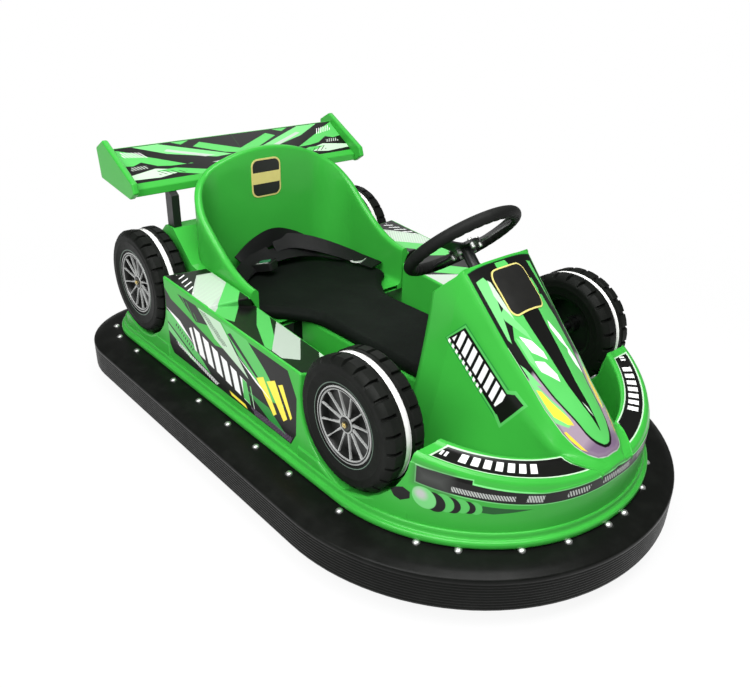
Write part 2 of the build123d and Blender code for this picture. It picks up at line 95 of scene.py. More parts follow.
# ---- shader arithmetic
class Value:
    """A shader socket that takes part in arithmetic; each operator adds one Math node."""

    def __init__(self, graph: "Graph", socket: bpy.types.NodeSocket) -> None:
        """Keeps the graph that the socket belongs to, and the socket."""
        self.graph = graph
        self.socket = socket

    def _math(self, operation: str, *terms: Number, clamp: bool = False) -> "Value":
        """One Math node on the given terms, in order."""
        return self.graph.node("ShaderNodeMath", {"operation": operation, "use_clamp": clamp},
                               dict(enumerate(terms)))

    def __add__(self, other: Number) -> "Value":
        """Self plus other."""
        return self._math("ADD", self, other)

    __radd__ = __add__

    def __sub__(self, other: Number) -> "Value":
        """Self minus other."""
        return self._math("SUBTRACT", self, other)

    def __rsub__(self, other: Number) -> "Value":
        """Other minus self."""
        return self._math("SUBTRACT", other, self)

    def __mul__(self, other: Number) -> "Value":
        """Self times other."""
        return self._math("MULTIPLY", self, other)

    __rmul__ = __mul__

    def __and__(self, other: Number) -> "Value":
        """The lower of the two: where both masks hold."""
        return self._math("MINIMUM", self, other)

    def __or__(self, other: Number) -> "Value":
        """The higher of the two: where either mask holds."""
        return self._math("MAXIMUM", self, other)

    def __mod__(self, other: Number) -> "Value":
        """The floored remainder."""
        return self._math("FLOORED_MODULO", self, other)

    def __abs__(self) -> "Value":
        """The size without its sign."""
        return self._math("ABSOLUTE", self)

    def over(self, edge: Number, soft: float = 1.0) -> "Value":
        """A mask that rises from 0 to 1 across an edge.

        Args:
            edge: where the mask is half way.
            soft: the width of the rise.

        Returns:
            The mask, from 0 to 1.
        """
        return self._math("MULTIPLY_ADD", self - edge, 1.0 / soft, 0.5, clamp=True)

    def under(self, edge: Number, soft: float = 1.0) -> "Value":
        """A mask that falls from 1 to 0 across an edge."""
        return 1.0 - self.over(edge, soft)


class Graph:
    """The node tree of a material or the world, with one method that adds any node."""

    def __init__(self, owner: bpy.types.Material | bpy.types.World) -> None:
        """Empties the owner's tree."""
        owner.use_nodes = True
        self.owner = owner
        self.tree = owner.node_tree
        self.tree.nodes.clear()
        self._place: Value | None = None

    @classmethod
    def of(cls, name: str) -> "Graph":
        """The tree of a new material of that name."""
        return cls(bpy.data.materials.new(name))

    def node(self, kind: str, settings: dict[str, Any] | None = None,
             inputs: dict[Any, Any] | None = None, output: int | str = 0) -> Value:
        """Adds a node.

        Args:
            kind: the node's type.
            settings: its properties, set first.
            inputs: a value or a link for each named or numbered socket.
            output: which output to return.

        Returns:
            The chosen output.
        """
        made = self.tree.nodes.new(kind)
        for name, value in (settings or {}).items():
            setattr(made, name, value)
        for name, value in (inputs or {}).items():
            target = made.inputs[name]
            if isinstance(value, Value):
                self.tree.links.new(value.socket, target)
            elif isinstance(value, tuple) and target.type == "RGBA":
                target.default_value = (*value, 1.0)
            else:
                target.default_value = value
        return Value(self, made.outputs[output])

    def end(self, shader: Value, kind: str = "ShaderNodeOutputMaterial") -> Any:
        """Ends the tree in a shader, and returns its owner."""
        self.tree.links.new(shader.socket, self.tree.nodes.new(kind).inputs["Surface"])
        return self.owner

    def place(self) -> Value:
        """The point on the piece, in the frame's metres."""
        if self._place is None:
            self._place = self.node("ShaderNodeTexCoord", output="Object")
        return self._place

    def axes(self) -> tuple[Value, ...]:
        """The point's X, Y and Z, in metres."""
        split = self.node("ShaderNodeSeparateXYZ", inputs={0: self.place()})
        return tuple(Value(self, output) for output in split.socket.node.outputs)

    def millimetres(self) -> tuple[Value, ...]:
        """The point's X, Y and Z, in millimetres."""
        return tuple(axis * 1000.0 for axis in self.axes())

    def flat(self, u: Value, v: Value) -> Value:
        """Two coordinates of a panel and 1, as one vector."""
        return self.node("ShaderNodeCombineXYZ", inputs={0: u, 1: v, 2: 1.0})

    def noise(self, scale: float, detail: float = 2.0, rough: float = 0.5) -> Value:
        """Noise from 0 to 1, with scale in waves per metre."""
        return self.node("ShaderNodeTexNoise", inputs={
            "Vector": self.place(), "Scale": scale, "Detail": detail, "Roughness": rough})

    def blend(self, low: Tint, high: Tint, share: Number) -> Value:
        """A colour between two colours."""
        return self.node("ShaderNodeMix", {"data_type": "RGBA"}, {0: share, 6: low, 7: high}, output=2)

    def bump(self, height: Value, depth: float, under: Value | None = None) -> Value:
        """A normal bent by a height from 0 to 1 that stands for a depth in millimetres."""
        inputs: dict[str, Any] = {"Height": height, "Distance": depth * MM, "Strength": 1.0}
        if under is not None:
            inputs["Normal"] = under
        return self.node("ShaderNodeBump", inputs=inputs)

    def polygon(self, flat: Value, corners: Sequence[Point], soft: float = 1.0) -> Value:
        """A mask of a convex polygon.

        Args:
            flat: a vector of the two coordinates in the panel and 1.
            corners: the polygon's corners, either way round, in the panel's units.
            soft: the width of its edge.

        Returns:
            The mask, from 0 to 1.
        """
        if sum(x0 * y1 - x1 * y0 for (x0, y0), (x1, y1) in edges(corners)) <= 0:
            corners = corners[::-1]
        inside: Value | None = None
        for (x0, y0), (x1, y1) in edges(corners):
            run = math.hypot(x1 - x0, y1 - y0)
            across = (-(y1 - y0) / run, (x1 - x0) / run)
            line = (*across, -(across[0] * x0 + across[1] * y0))
            depth = self.node("ShaderNodeVectorMath", {"operation": "DOT_PRODUCT"}, {0: flat, 1: line},
                              output="Value")
            inside = depth if inside is None else inside & depth
        return inside.over(0.0, soft)

    def distance(self, u: Value, v: Value) -> Value:
        """The length of a flat vector."""
        return self.node("ShaderNodeMath", {"operation": "SQRT"}, {0: u * u + v * v})

    def finish(self, colour: Tint, rough: Number, metal: Number = 0.0, normal: Value | None = None,
               constants: dict[str, Any] | None = None) -> bpy.types.Material:
        """Ends the tree in a Principled shader.

        Args:
            colour: the base colour.
            rough: the roughness.
            metal: the metalness.
            normal: a bump's output, where there is one.
            constants: other sockets of the shader and their fixed values.

        Returns:
            The material.
        """
        inputs: dict[str, Any] = {"Base Color": colour, "Roughness": rough, "Metallic": metal}
        if normal is not None:
            inputs["Normal"] = normal
        inputs.update(constants or {})
        return self.end(self.node("ShaderNodeBsdfPrincipled", inputs=inputs))


def shelf(x: float) -> float:
    """The height at a station of the shelf round the nose."""
    return SHELF_HEIGHT - SHELF_FALL * x


def edges(corners: Sequence[Any]) -> Iterable[tuple[Any, Any]]:
    """Each corner of a closed outline with the next one."""
    return zip(corners, [*corners[1:], corners[0]])


def shade(colour: Colour, share: float, more: float = 0.0) -> Colour:
    """A colour made darker or paler."""
    return tuple(c * share + more for c in colour)


# ---- finishes
GREEN: Colour = (0.040, 0.385, 0.044)
PALE_GREEN: Colour = (0.16, 0.56, 0.18)
MINT: Colour = (0.47, 0.65, 0.47)
INK: Colour = (0.0050, 0.0052, 0.0046)
SOOT: Colour = (0.0040, 0.0046, 0.0040)
WHITE: Colour = (0.86, 0.87, 0.86)
YELLOW: Colour = (0.90, 0.76, 0.07)
AMBER: Colour = (0.85, 0.56, 0.05)
MAUVE: Colour = (0.31, 0.24, 0.30)
ASH: Colour = (0.050, 0.054, 0.050)
SILK: Colour = (0.44, 0.46, 0.44)
FROST: Colour = (0.42, 0.48, 0.42)
PINE: Colour = (0.010, 0.085, 0.018)


@dataclass(frozen=True)
class Moulding:
    """Glossy moulded plastic, slightly mottled, with a fine orange-peel skin."""

    name: str = "moulded_green"
    colour: Colour = GREEN
    rough: float = 0.30

    def paint(self, graph: Graph) -> Value:
        """The colour under any livery."""
        return graph.blend(shade(self.colour, 0.90), self.colour, graph.noise(9.0, 3.0).over(0.42, 0.5))

    def livery(self, graph: Graph, ground: Value) -> Value:
        """The printed layers over the colour; none on plain plastic."""
        return ground

    def material(self) -> bpy.types.Material:
        """Builds the material."""
        graph = Graph.of(self.name)
        colour = self.livery(graph, self.paint(graph))
        rough = graph.noise(60.0, 4.0) * 0.10 + (self.rough - 0.05)
        peel = graph.bump(graph.noise(420.0, 1.0), 0.05)
        return graph.finish(colour, rough, normal=peel, constants={
            "Coat Weight": 0.12, "Coat Roughness": 0.10, "Specular IOR Level": 0.20})


@dataclass(frozen=True)
class Rubber:
    """Matt black rubber with a fine grain and paler rubbed patches."""

    name: str
    colour: Colour = (0.022, 0.023, 0.022)
    rough: float = 0.55
    grain: float = 900.0

    def material(self) -> bpy.types.Material:
        """Builds the material."""
        graph = Graph.of(self.name)
        rubbed = graph.noise(14.0, 5.0, 0.62).over(0.62, 0.3)
        colour = graph.blend(self.colour, shade(self.colour, 1.9, 0.004), rubbed * 0.6)
        rough = graph.noise(35.0, 3.0) * 0.16 + (self.rough - 0.08)
        skin = graph.bump(graph.noise(self.grain, 2.0), 0.10)
        return graph.finish(colour, rough, normal=skin, constants={"Specular IOR Level": 0.10})


@dataclass(frozen=True)
class Metal:
    """Plain metal or a coat of paint over it, with fine brushing and dulled spots."""

    name: str
    colour: Colour
    rough: float
    metal: float = 1.0
    brush: float = 700.0

    def material(self) -> bpy.types.Material:
        """Builds the material."""
        graph = Graph.of(self.name)
        dull = graph.noise(40.0, 4.0, 0.6)
        colour = graph.blend(self.colour, shade(self.colour, 0.72), dull.over(0.58, 0.35))
        rough = dull * 0.18 + (self.rough - 0.09)
        skin = graph.bump(graph.noise(self.brush, 3.0), 0.03)
        return graph.finish(colour, rough, self.metal, skin)


@dataclass(frozen=True)
class Plastic:
    """Small moulded parts in one plain colour, with a faint spark-eroded grain."""

    name: str
    colour: Colour
    rough: float = 0.42

    def material(self) -> bpy.types.Material:
        """Builds the material."""
        graph = Graph.of(self.name)
        cloud = graph.noise(55.0, 3.0)
        colour = graph.blend(shade(self.colour, 0.86), self.colour, cloud)
        rough = cloud * 0.12 + (self.rough - 0.06)
        return graph.finish(colour, rough, normal=graph.bump(graph.noise(1300.0, 1.0), 0.03))


@dataclass(frozen=True)
class Vinyl:
    """Black padded cover: leathery grain, soft creases, rubbed sheen."""

    name: str = "pad_vinyl"
    colour: Colour = (0.0034, 0.0046, 0.0036)

    def material(self) -> bpy.types.Material:
        """Builds the material."""
        graph = Graph.of(self.name)
        cells = graph.node("ShaderNodeTexVoronoi", {"feature": "DISTANCE_TO_EDGE"},
                           {"Vector": graph.place(), "Scale": 520.0})
        grain = cells.over(0.10, 0.2)
        creases = graph.noise(26.0, 5.0, 0.65)
        worn = graph.noise(7.0, 3.0).over(0.55, 0.4)
        colour = graph.blend(self.colour, shade(self.colour, 2.1), worn * grain)
        rough = worn * -0.08 + 0.62
        skin = graph.bump(creases, 1.2, graph.bump(grain, 0.12))
        return graph.finish(colour, rough, normal=skin, constants={"Specular IOR Level": 0.06})


@dataclass(frozen=True)
class Webbing:
    """Woven strap: ribs across, a herringbone of threads and a selvedge sheen."""

    name: str = "harness_webbing"
    colour: Colour = (0.0032, 0.0032, 0.0034)

    def material(self) -> bpy.types.Material:
        """Builds the material."""
        graph = Graph.of(self.name)
        threads = graph.node("ShaderNodeTexWave", {"bands_direction": "DIAGONAL"},
                             {"Vector": graph.place(), "Scale": 240.0, "Distortion": 0.6, "Detail": 1.0})
        cross = graph.node("ShaderNodeTexWave", {"bands_direction": "X"},
                           {"Vector": graph.place(), "Scale": 320.0, "Distortion": 0.4})
        weave = threads * cross
        colour = graph.blend(self.colour, shade(self.colour, 2.4), weave * 0.7)
        return graph.finish(colour, 0.46, normal=graph.bump(weave, 0.30), constants={"Specular IOR Level": 0.18})


@lru_cache(maxsize=None)
def made(finish: Any) -> bpy.types.Material:
    """The one material of a finish, built the first time it is asked for."""
    return finish.material()


BODY = Moulding()
BUMPER_RUBBER = Rubber("bumper_rubber", (0.0045, 0.0050, 0.0043), 0.34, 600.0)
TYRE_RUBBER = Rubber("tyre_rubber", (0.0052, 0.0060, 0.0050), 0.52, 1100.0)
GRIP_FOAM = Rubber("grip_foam", (0.0085, 0.009, 0.0085), 0.58, 1500.0)
BLACK_STEEL = Metal("black_coated_steel", (0.009, 0.010, 0.010), 0.38, 0.0)
ZINC = Metal("zinc_plated_steel", (0.66, 0.67, 0.65), 0.46)
BRASS = Metal("brass_nut", (0.72, 0.60, 0.30), 0.30)
SILVER = Plastic("silver_lacquer", (0.36, 0.37, 0.36), 0.30)
RIM_BLACK = Plastic("rim_black", (0.010, 0.011, 0.010), 0.35)
WHITE_BAND = Plastic("white_band", (0.90, 0.90, 0.88), 0.45)
BEAD_GREEN = Plastic("bead_line", (0.10, 0.16, 0.12), 0.40)
TRIM_BLACK = Plastic("trim_black", (0.007, 0.007, 0.007), 0.40)
PLATE_INK = Plastic("plate_ink", (0.008, 0.008, 0.007), 0.38)
PLATE_YELLOW = Plastic("plate_yellow", (0.70, 0.62, 0.20), 0.35)
BATTERY_CASE = Plastic("battery_case", (0.030, 0.031, 0.032), 0.50)
PAD_VINYL = Vinyl()
STRAP = Webbing()


# ---- printed films
LEAF: Colour = (0.085, 0.47, 0.10)
FOREST: Colour = (0.018, 0.24, 0.035)
PLUM: Colour = (0.17, 0.115, 0.185)


def both(half: Corners) -> Corners:
    """An outline on both sides of the middle, from one side's corners that run to its tip."""
    return (*((-x, y) for x, y in half if x), *half[::-1])


@dataclass(frozen=True)
class Shard:
    """One convex flat-coloured mark of a film, in the film's millimetres."""

    colour: Colour
    corners: Corners
    soft: float = field(default=0.9, kw_only=True)

    def mask(self, film: "Film") -> Value:
        """Where the mark is printed."""
        return film.graph.polygon(film.flat, self.corners, self.soft)

    def twins(self) -> tuple["Shard", "Shard"]:
        """The mark and its mirror image on the other side of the middle."""
        return self, replace(self, corners=tuple((-x, y) for x, y in self.corners))


@dataclass(frozen=True)
class Bars(Shard):
    """A row of slanted bars that fills a convex shape."""

    pitch: float = 20.0
    width: float = 12.0
    slant: float = 0.35
    start: float = 0.0

    def mask(self, film: "Film") -> Value:
        """Where the bars are printed."""
        along = (film.u + film.v * self.slant - self.start) % self.pitch
        return super().mask(film) & along.under(self.width, self.soft) & along.over(0.0, self.soft)


@dataclass(frozen=True)
class Disc(Shard):
    """A disc about the shape's only corner."""

    radius: float = 20.0

    def mask(self, film: "Film") -> Value:
        """Where the disc is printed."""
        x, y = self.corners[0]
        return film.graph.distance(film.u - x, film.v - y).under(self.radius, self.soft)


@dataclass
class Film:
    """A printed film: its two coordinates in millimetres, where it is stuck, and its marks in order."""

    graph: Graph
    u: Value
    v: Value
    where: Value
    marks: tuple[Shard, ...]

    def __post_init__(self) -> None:
        """Joins the two coordinates."""
        self.flat = self.graph.flat(self.u, self.v)

    def over(self, ground: Value) -> Value:
        """The colour of the film over what is under it."""
        colour = ground
        for mark in self.marks:
            colour = self.graph.blend(colour, mark.colour, mark.mask(self))
        return self.graph.blend(ground, colour, self.where)


@dataclass(frozen=True)
class Printed(Moulding):
    """Moulded plastic with printed films on some of its faces."""

    name: str = "printed_green"

    def films(self, graph: Graph) -> list[Film]:
        """The films, in the order that they are stuck on."""
        raise NotImplementedError

    def livery(self, graph: Graph, ground: Value) -> Value:
        """Lays every film over the colour."""
        for film in self.films(graph):
            ground = film.over(ground)
        return ground


@dataclass(frozen=True)
class PodPrint(Printed):
    """Shards and stripes on a pod's flank and top."""

    name: str = "printed_pod"
    flank_marks: tuple[Shard, ...] = (
        Shard(INK, ((-371, 226), (-352, 203), (208, 193), (226, 226), (222, 318), (186, 374), (-371, 410))),
        Shard(GREEN, ((-380, 404), (-338, 372), (-120, 318), (-40, 330), (-60, 394), (-372, 418))),
        Shard(INK, ((-300, 400), (-210, 350), (-150, 362), (-206, 398))),
        Shard(MINT, ((-196, 396), (-120, 336), (30, 286), (-90, 392))),
        Shard(LEAF, ((-86, 396), (-10, 330), (128, 268), (176, 276), (96, 340), (24, 388))),
        Shard(LEAF, ((-371, 330), (-371, 296), (-232, 238), (-150, 222), (-216, 262), (-318, 322))),
        Shard(PALE_GREEN, ((-371, 290), (-371, 268), (-258, 226), (-212, 220), (-268, 246))),
        Shard(FOREST, ((20, 252), (118, 214), (190, 206), (116, 246))),
        Bars(WHITE, ((-250, 318), (-226, 262), (56, 214), (40, 268), (-226, 330)), 40, 27, 0.34, 6),
        Bars(LEAF, ((8, 224), (54, 214), (40, 268), (2, 276)), 40, 27, 0.34, 6),
        Bars(WHITE, ((-330, 252), (-322, 240), (-122, 202), (-110, 212)), 9, 5, 0.5),
        Bars(INK, ((-190, 392), (-160, 392), (-60, 336), (-84, 332)), 9, 4, 1.3),
        Bars(INK, ((-330, 300), (-318, 306), (-232, 262), (-240, 254)), 12, 5, -0.6),
        Bars(GREEN, ((-290, 398), (-210, 352), (-196, 356), (-268, 400)), 16, 3, 0.9),
        Shard(INK, ((-60, 372), (-46, 380), (84, 300), (60, 306))),
        Bars(PLUM, ((36, 214), (60, 197), (206, 195), (212, 212)), 7, 3, 0.8),
        Shard(YELLOW, ((64, 304), (92, 318), (148, 244), (136, 234))),
        Shard(YELLOW, ((106, 312), (138, 328), (190, 250), (176, 238))),
        Shard(YELLOW, ((152, 322), (168, 330), (208, 262), (202, 254))),
        Shard(WHITE, ((-20, 330), (60, 290), (128, 268), (50, 302))),
        Shard(WHITE, ((-371, 338), (-232, 278), (-300, 322))),
        Shard(YELLOW, ((-60, 214), (-50, 205), (24, 199), (14, 208))),
    )
    top_marks: tuple[Shard, ...] = (
        Shard(INK, ((-371, 262), (-371, 418), (226, 404), (226, 262))),
        Shard(FROST, ((-340, 286), (-340, 336), (-230, 412), (-96, 408), (-190, 300), (-236, 286))),
        Bars(MINT, ((-334, 300), (-334, 336), (-226, 408), (-150, 406), (-220, 320), (-250, 300)), 13, 5, 1.4),
        Shard(LEAF, ((-290, 268), (-226, 268), (-60, 390), (-84, 408), (-120, 408))),
        Shard(LEAF, ((-150, 268), (-90, 268), (60, 352), (110, 398), (86, 400), (-40, 340))),
        Shard(FROST, ((-60, 268), (44, 268), (160, 352), (150, 396), (110, 396))),
        Shard(MINT, ((120, 268), (168, 268), (222, 308), (222, 340))),
        Bars(WHITE, ((160, 268), (214, 268), (222, 300), (204, 300)), 12, 4, -0.4, 2),
        Bars(WHITE, ((-364, 364), (-300, 370), (-236, 402), (-262, 406), (-364, 384)), 22, 5, -0.7, 3),
    )

    def films(self, graph: Graph) -> list[Film]:
        """One film on the flank, one on the top; both stop short of the crease."""
        x, y, z = graph.millimetres()
        out = abs(y)
        along = (x + 375.0) * (1 / 607.0)
        crease_y = 419.0 - along * 15.0
        crease_z = 427.0 - along * 42.0
        inner_y = 283.0 - x.over(-152.0) * 21.0
        flank = (out - crease_y).over(-2.5) & (z - crease_z).under(-7.0)
        top = (out - crease_y).under(-6.0) & (out - inner_y).over(6.0) & z.over(300.0)
        top = top & x.over(-371.0) & x.under(228.0)
        return [Film(graph, x, z, flank, self.flank_marks), Film(graph, x, out, top, self.top_marks)]


COWL_RIM: Corners = ((86.5, 652), (80, 700), (70, 726), (55, 751), (48, 760), (40, 767), (30, 772), (16, 775.5))


@dataclass(frozen=True)
class CowlPrint(Printed):
    """Border, centre stripe, slashes and lamp shapes on the nose panel, and a bar block on its flanks."""

    name: str = "printed_cowl"
    border: Corners = both(((104, 424), (97, 540), *COWL_RIM))
    # the pale line round the lower part, everything inside the rim, then the inner field
    marks: tuple[Shard, ...] = (
        Shard(MINT, both(((96, 548), *COWL_RIM)), soft=1.0),
        Shard(INK, both(((103, 425.5), (96, 541), (85.5, 652), (79, 699), (69, 725), (54, 750), (39, 766.5),
                         (19, 773.5)))),
        Shard(MAUVE, both(((90, 604), (78.5, 699), (68.5, 724.5), (53.5, 749.5), (38.5, 766), (19, 773))),
              soft=8.0),
        Shard(PLUM, both(((60, 742), (38.5, 766), (19, 773))), soft=14.0),
        *Shard(PALE_GREEN, ((-90, 606), (-84, 608), (-56, 674), (-52, 702), (-64, 702), (-81, 680)),
               soft=2.0).twins(),
        *Shard(AMBER, ((-84, 624), (-76, 632), (-54, 692), (-52, 706), (-62, 698), (-78, 672))).twins(),
        *Shard(AMBER, ((-76, 700), (-72, 702), (-56, 738), (-52, 747), (-60, 738), (-72, 714))).twins(),
        Shard(INK, both(((78, 508), (80, 539), (75.5, 590), (69.2, 617), (45.2, 705), (38.8, 728), (33, 740),
                         (27, 749), (21, 755), (11, 762), (0, 764))), soft=1.2),
        Shard(LEAF, both(((74, 500), (76, 538), (72, 588), (66, 616), (42, 704), (36, 726), (30, 737), (24, 745),
                          (18, 751), (9, 757.5), (0, 759))), soft=1.2),
        Shard(LEAF, both(((76, 470), (60, 500)))),
        Shard(INK, ((-62, 462), (-80, 510), (-84, 560), (-58, 520), (-48, 480))),
        Shard(PALE_GREEN, ((-93, 443), (-72, 443), (-62, 460), (-84, 548), (-88, 540))),
        Shard(MINT, ((-66, 450), (-60, 456), (-50, 545), (-60, 520), (-70, 476))),
        Shard(PALE_GREEN, ((-64, 500), (-40, 548), (-38, 566), (-74, 516), (-76, 504))),
        Shard(LEAF, ((93, 438), (80, 438), (84, 470), (92, 520))),
        Shard(INK, ((78, 446), (60, 446), (70, 520), (82, 560))),
        Shard(PALE_GREEN, ((-90, 580), (-84, 590), (-70, 628), (-86, 612))),
        Shard(LEAF, ((-20, 428), (14, 428), (18, 442), (-22, 442))),
        Shard(INK, ((-27, 500), (27, 500), (26.5, 534), (20.5, 590), (14.5, 646), (8.5, 696), (1, 738), (-1, 738),
                    (-8.5, 696), (-14.5, 646), (-20.5, 590), (-26.5, 534))),
        Shard(WHITE, ((-62, 548), (-40, 566), (-28, 590), (-28, 604), (-54, 580))),
        Shard(WHITE, ((-60, 592), (-38, 604), (-25, 630), (-27, 642), (-56, 612))),
        Shard(WHITE, ((36, 546), (52, 574), (54, 604), (38, 584), (30, 560))),
        Shard(WHITE, ((54, 592), (62, 616), (60, 640), (48, 626), (44, 606))),
        Shard(PALE_GREEN, ((-58, 560), (-70, 546), (-68, 588), (-58, 612))),
        Shard(MINT, ((-5, 688), (1, 700), (3, 716), (-2, 706))),
    )
    flank_marks: tuple[Shard, ...] = (
        Shard(FOREST, ((408, 462), (562, 325), (590, 338), (600, 378), (452, 508))),
        Shard(LEAF, ((545, 347), (577, 308), (623, 374), (592, 398), (572, 394))),
        Shard(LEAF, ((411, 463), (562, 329), (586, 340), (596, 376), (452, 504))),
        Shard(INK, ((416, 463), (562, 334), (584, 344), (591, 372), (452, 498))),
        Shard(INK, ((553, 349), (577, 318), (615, 373), (592, 390), (574, 386))),
        Bars(WHITE, ((426, 466), (556, 350), (578, 378), (450, 490)), 20, 13, -0.25, 4),
        Bars(WHITE, ((416, 459), (520, 366), (524, 371), (420, 464)), 13, 7, -0.25, 4),
    )

    def films(self, graph: Graph) -> list[Film]:
        """One film on the panel and one on both flanks."""
        x, y, z = graph.millimetres()
        inside = graph.polygon(graph.flat(y, x), self.border) & z.over(200.0)
        return [Film(graph, x, z, x.over(380.0) & abs(y).over(100.0), self.flank_marks),
                Film(graph, y, x, inside, (Shard(FOREST, self.border, soft=1.0), *self.marks))]


@dataclass(frozen=True)
class FairingPrint(Printed):
    """A curved dark label on the shelf's top, and a strip with discs on its outer wall, with a painted highlight
    along the strip's top.
    """

    name: str = "printed_fairing_and_highlight"
    petal: Corners = ((690, -1), (690, 109), (715, 104), (743, 94), (760, 82), (772, 72), (784, 62), (792, 56),
                      (792, -1))
    top_marks: tuple[Shard, ...] = (
        Bars(WHITE, ((184, 30), (177, 54), (339, 54), (346, 30)), 24, 15, 0.3, 3),
        Bars(WHITE, ((366, 33), (362, 47), (379, 47), (383, 33)), 9, 5, 0.3),
    )
    wall_prints_and_highlight: tuple[Shard, ...] = (
        # pale green quads 2 to 3 mm bigger than the dark strip: below the strip this is the film's pale border,
        # along its top it is a painted highlight of the groove above
        Shard(PALE_GREEN, ((458.5, 19), (342.5, 10.6), (342.5, 55.6), (458.5, 62.8))),
        Shard(PALE_GREEN, ((347, 18), (198, 19.6), (198, 49.6), (347, 55.4))),
        Shard(PALE_GREEN, ((199.5, 19.6), (60, 8.6), (60, 39.2), (199.5, 49.6))),
        Shard(PALE_GREEN, ((61, 8.6), (-1, 5.8), (-1, 35), (61, 39.2))),
        Shard(INK, ((456, 21), (345, 13), (345, 53), (456, 60))),
        Shard(INK, ((347, 20.5), (198, 22), (198, 47.2), (347, 53))),
        Shard(INK, ((199.5, 22), (60, 11), (60, 37), (199.5, 47.3))),
        Shard(INK, ((61, 11), (-1, 8), (-1, 33), (61, 37))),
        Shard(ASH, ((456, 22), (390, 18), (390, 56), (456, 58)), soft=34.0),
        Bars(SILK, ((258, 31), (385, 38), (385, 50), (258, 43)), 6, 4, 0.6),
        Bars(SILK, ((196, 27), (232, 27), (236, 43), (200, 43)), 6, 4.4, 0.4),
        Bars(SILK, ((84, 20), (142, 24), (146, 38), (90, 34)), 7, 4, 0.4),
        Bars(SILK, ((-1, 14), (46, 16), (50, 30), (-1, 28)), 7, 4, 0.4),
        Shard(PINE, ((219, 60), (322, 65), (322, 82), (300, 81))),
        *(Disc((LEAF, SOOT)[k % 2], (spot,), radius) for k, (spot, radius) in enumerate((
            ((336, 75), 15), ((349, 77), 15), ((363, 78), 17), ((382, 83), 19), ((397, 84), 21),
            ((416, 90), 23)))),
        Disc(PALE_GREEN, ((437, 90),), 25, soft=1.5),
        Disc(SILK, ((444, 84),), 12, soft=12.0),
        Shard(SOOT, ((512, 106), (482, 88), (466, 92), (466, 108), (486, 124), (500, 122))),
    )

    def films(self, graph: Graph) -> list[Film]:
        """One film on the top and one on the outer wall, both in bands round the nose."""
        x, y, z = graph.millimetres()
        out = abs(y)
        turn = graph.node("ShaderNodeMath", {"operation": "ARCTAN2"}, {0: out, 1: x - 380.0})
        drop = SHELF_HEIGHT - x * SHELF_FALL - z
        inset = 410.7 - graph.distance(x - 383.7, out - 10.0)
        plan = graph.flat(x, out)
        tip = graph.polygon(plan, self.petal)
        wide = graph.polygon(plan, [(x1, y1 + 3.0) for x1, y1 in self.petal])
        top = drop.under(4.0) & z.over(230.0)
        label = top & inset.over(18.0) & inset.under(64.0) & x.over(578.5)
        whole = ((0, -50), (0, 900), (700, 900), (700, -50))
        pale = Film(graph, turn * 378.0, inset, label & tip.under(0.5), (Shard(MINT, whole),))
        dark = label & inset.over(21.0) & inset.under(61.0) & x.over(582.0) & wide.under(0.5)
        ink = Film(graph, turn * 378.0, inset, dark, (Shard(INK, whole), *self.top_marks))
        # the wall's film also lays the painted highlight along the strip's top
        wall = Film(graph, turn * 415.0, drop, drop.over(5.0) & inset.under(6.0), self.wall_prints_and_highlight)
        return [pale, ink, wall]


@dataclass(frozen=True)
class WingPrint(Printed):
    """Shards that point inwards from both ends of the blade."""

    name: str = "printed_wing"
    marks: tuple[Shard, ...] = (
        Shard(INK, ((0, -678), (0, -560), (390, -560), (390, -678))),
        Shard(LEAF, ((392, -676), (392, -620), (250, -600), (180, -598), (280, -636))),
        Shard(INK, ((392, -604), (392, -590), (290, -606), (330, -624))),
        Shard(PALE_GREEN, ((330, -676), (250, -676), (40, -610), (96, -608), (240, -640))),
        Shard(FROST, ((244, -650), (232, -655), (96, -614), (130, -614))),
        Shard(LEAF, ((210, -676), (150, -676), (-10, -622), (-10, -606), (60, -620))),
        Shard(INK, ((300, -660), (330, -650), (200, -598), (170, -602))),
        Shard(MINT, ((392, -572), (392, -584), (300, -598), (210, -580), (300, -568))),
        Shard(LEAF, ((180, -560), (100, -560), (240, -592), (300, -590))),
        Shard(FROST, ((120, -592), (66, -584), (20, -589), (60, -597))),
        Shard(INK, ((150, -676), (96, -676), (150, -652), (196, -660))),
        Bars(FROST, ((366, -612), (372, -600), (316, -602), (322, -612)), 9, 4, 0.8),
        Bars(INK, ((300, -592), (212, -578), (214, -572), (300, -576)), 17, 4, 1.6),
        Bars(WHITE, ((372, -664), (372, -646), (300, -636), (312, -656)), 9, 3, 0.8),
    )

    def films(self, graph: Graph) -> list[Film]:
        """One film on the blade's top, the same on both halves."""
        x, y, z = graph.millimetres()
        height = z - 707.0 + (x + 681.0) * 0.626
        where = height.over(-3.5) & x.under(-552.0)
        return [Film(graph, abs(y), x, where, self.marks)]


POD_LIVERY = PodPrint()
COWL_LIVERY = CowlPrint()
FAIRING_LIVERY = FairingPrint()
WING_LIVERY = WingPrint()


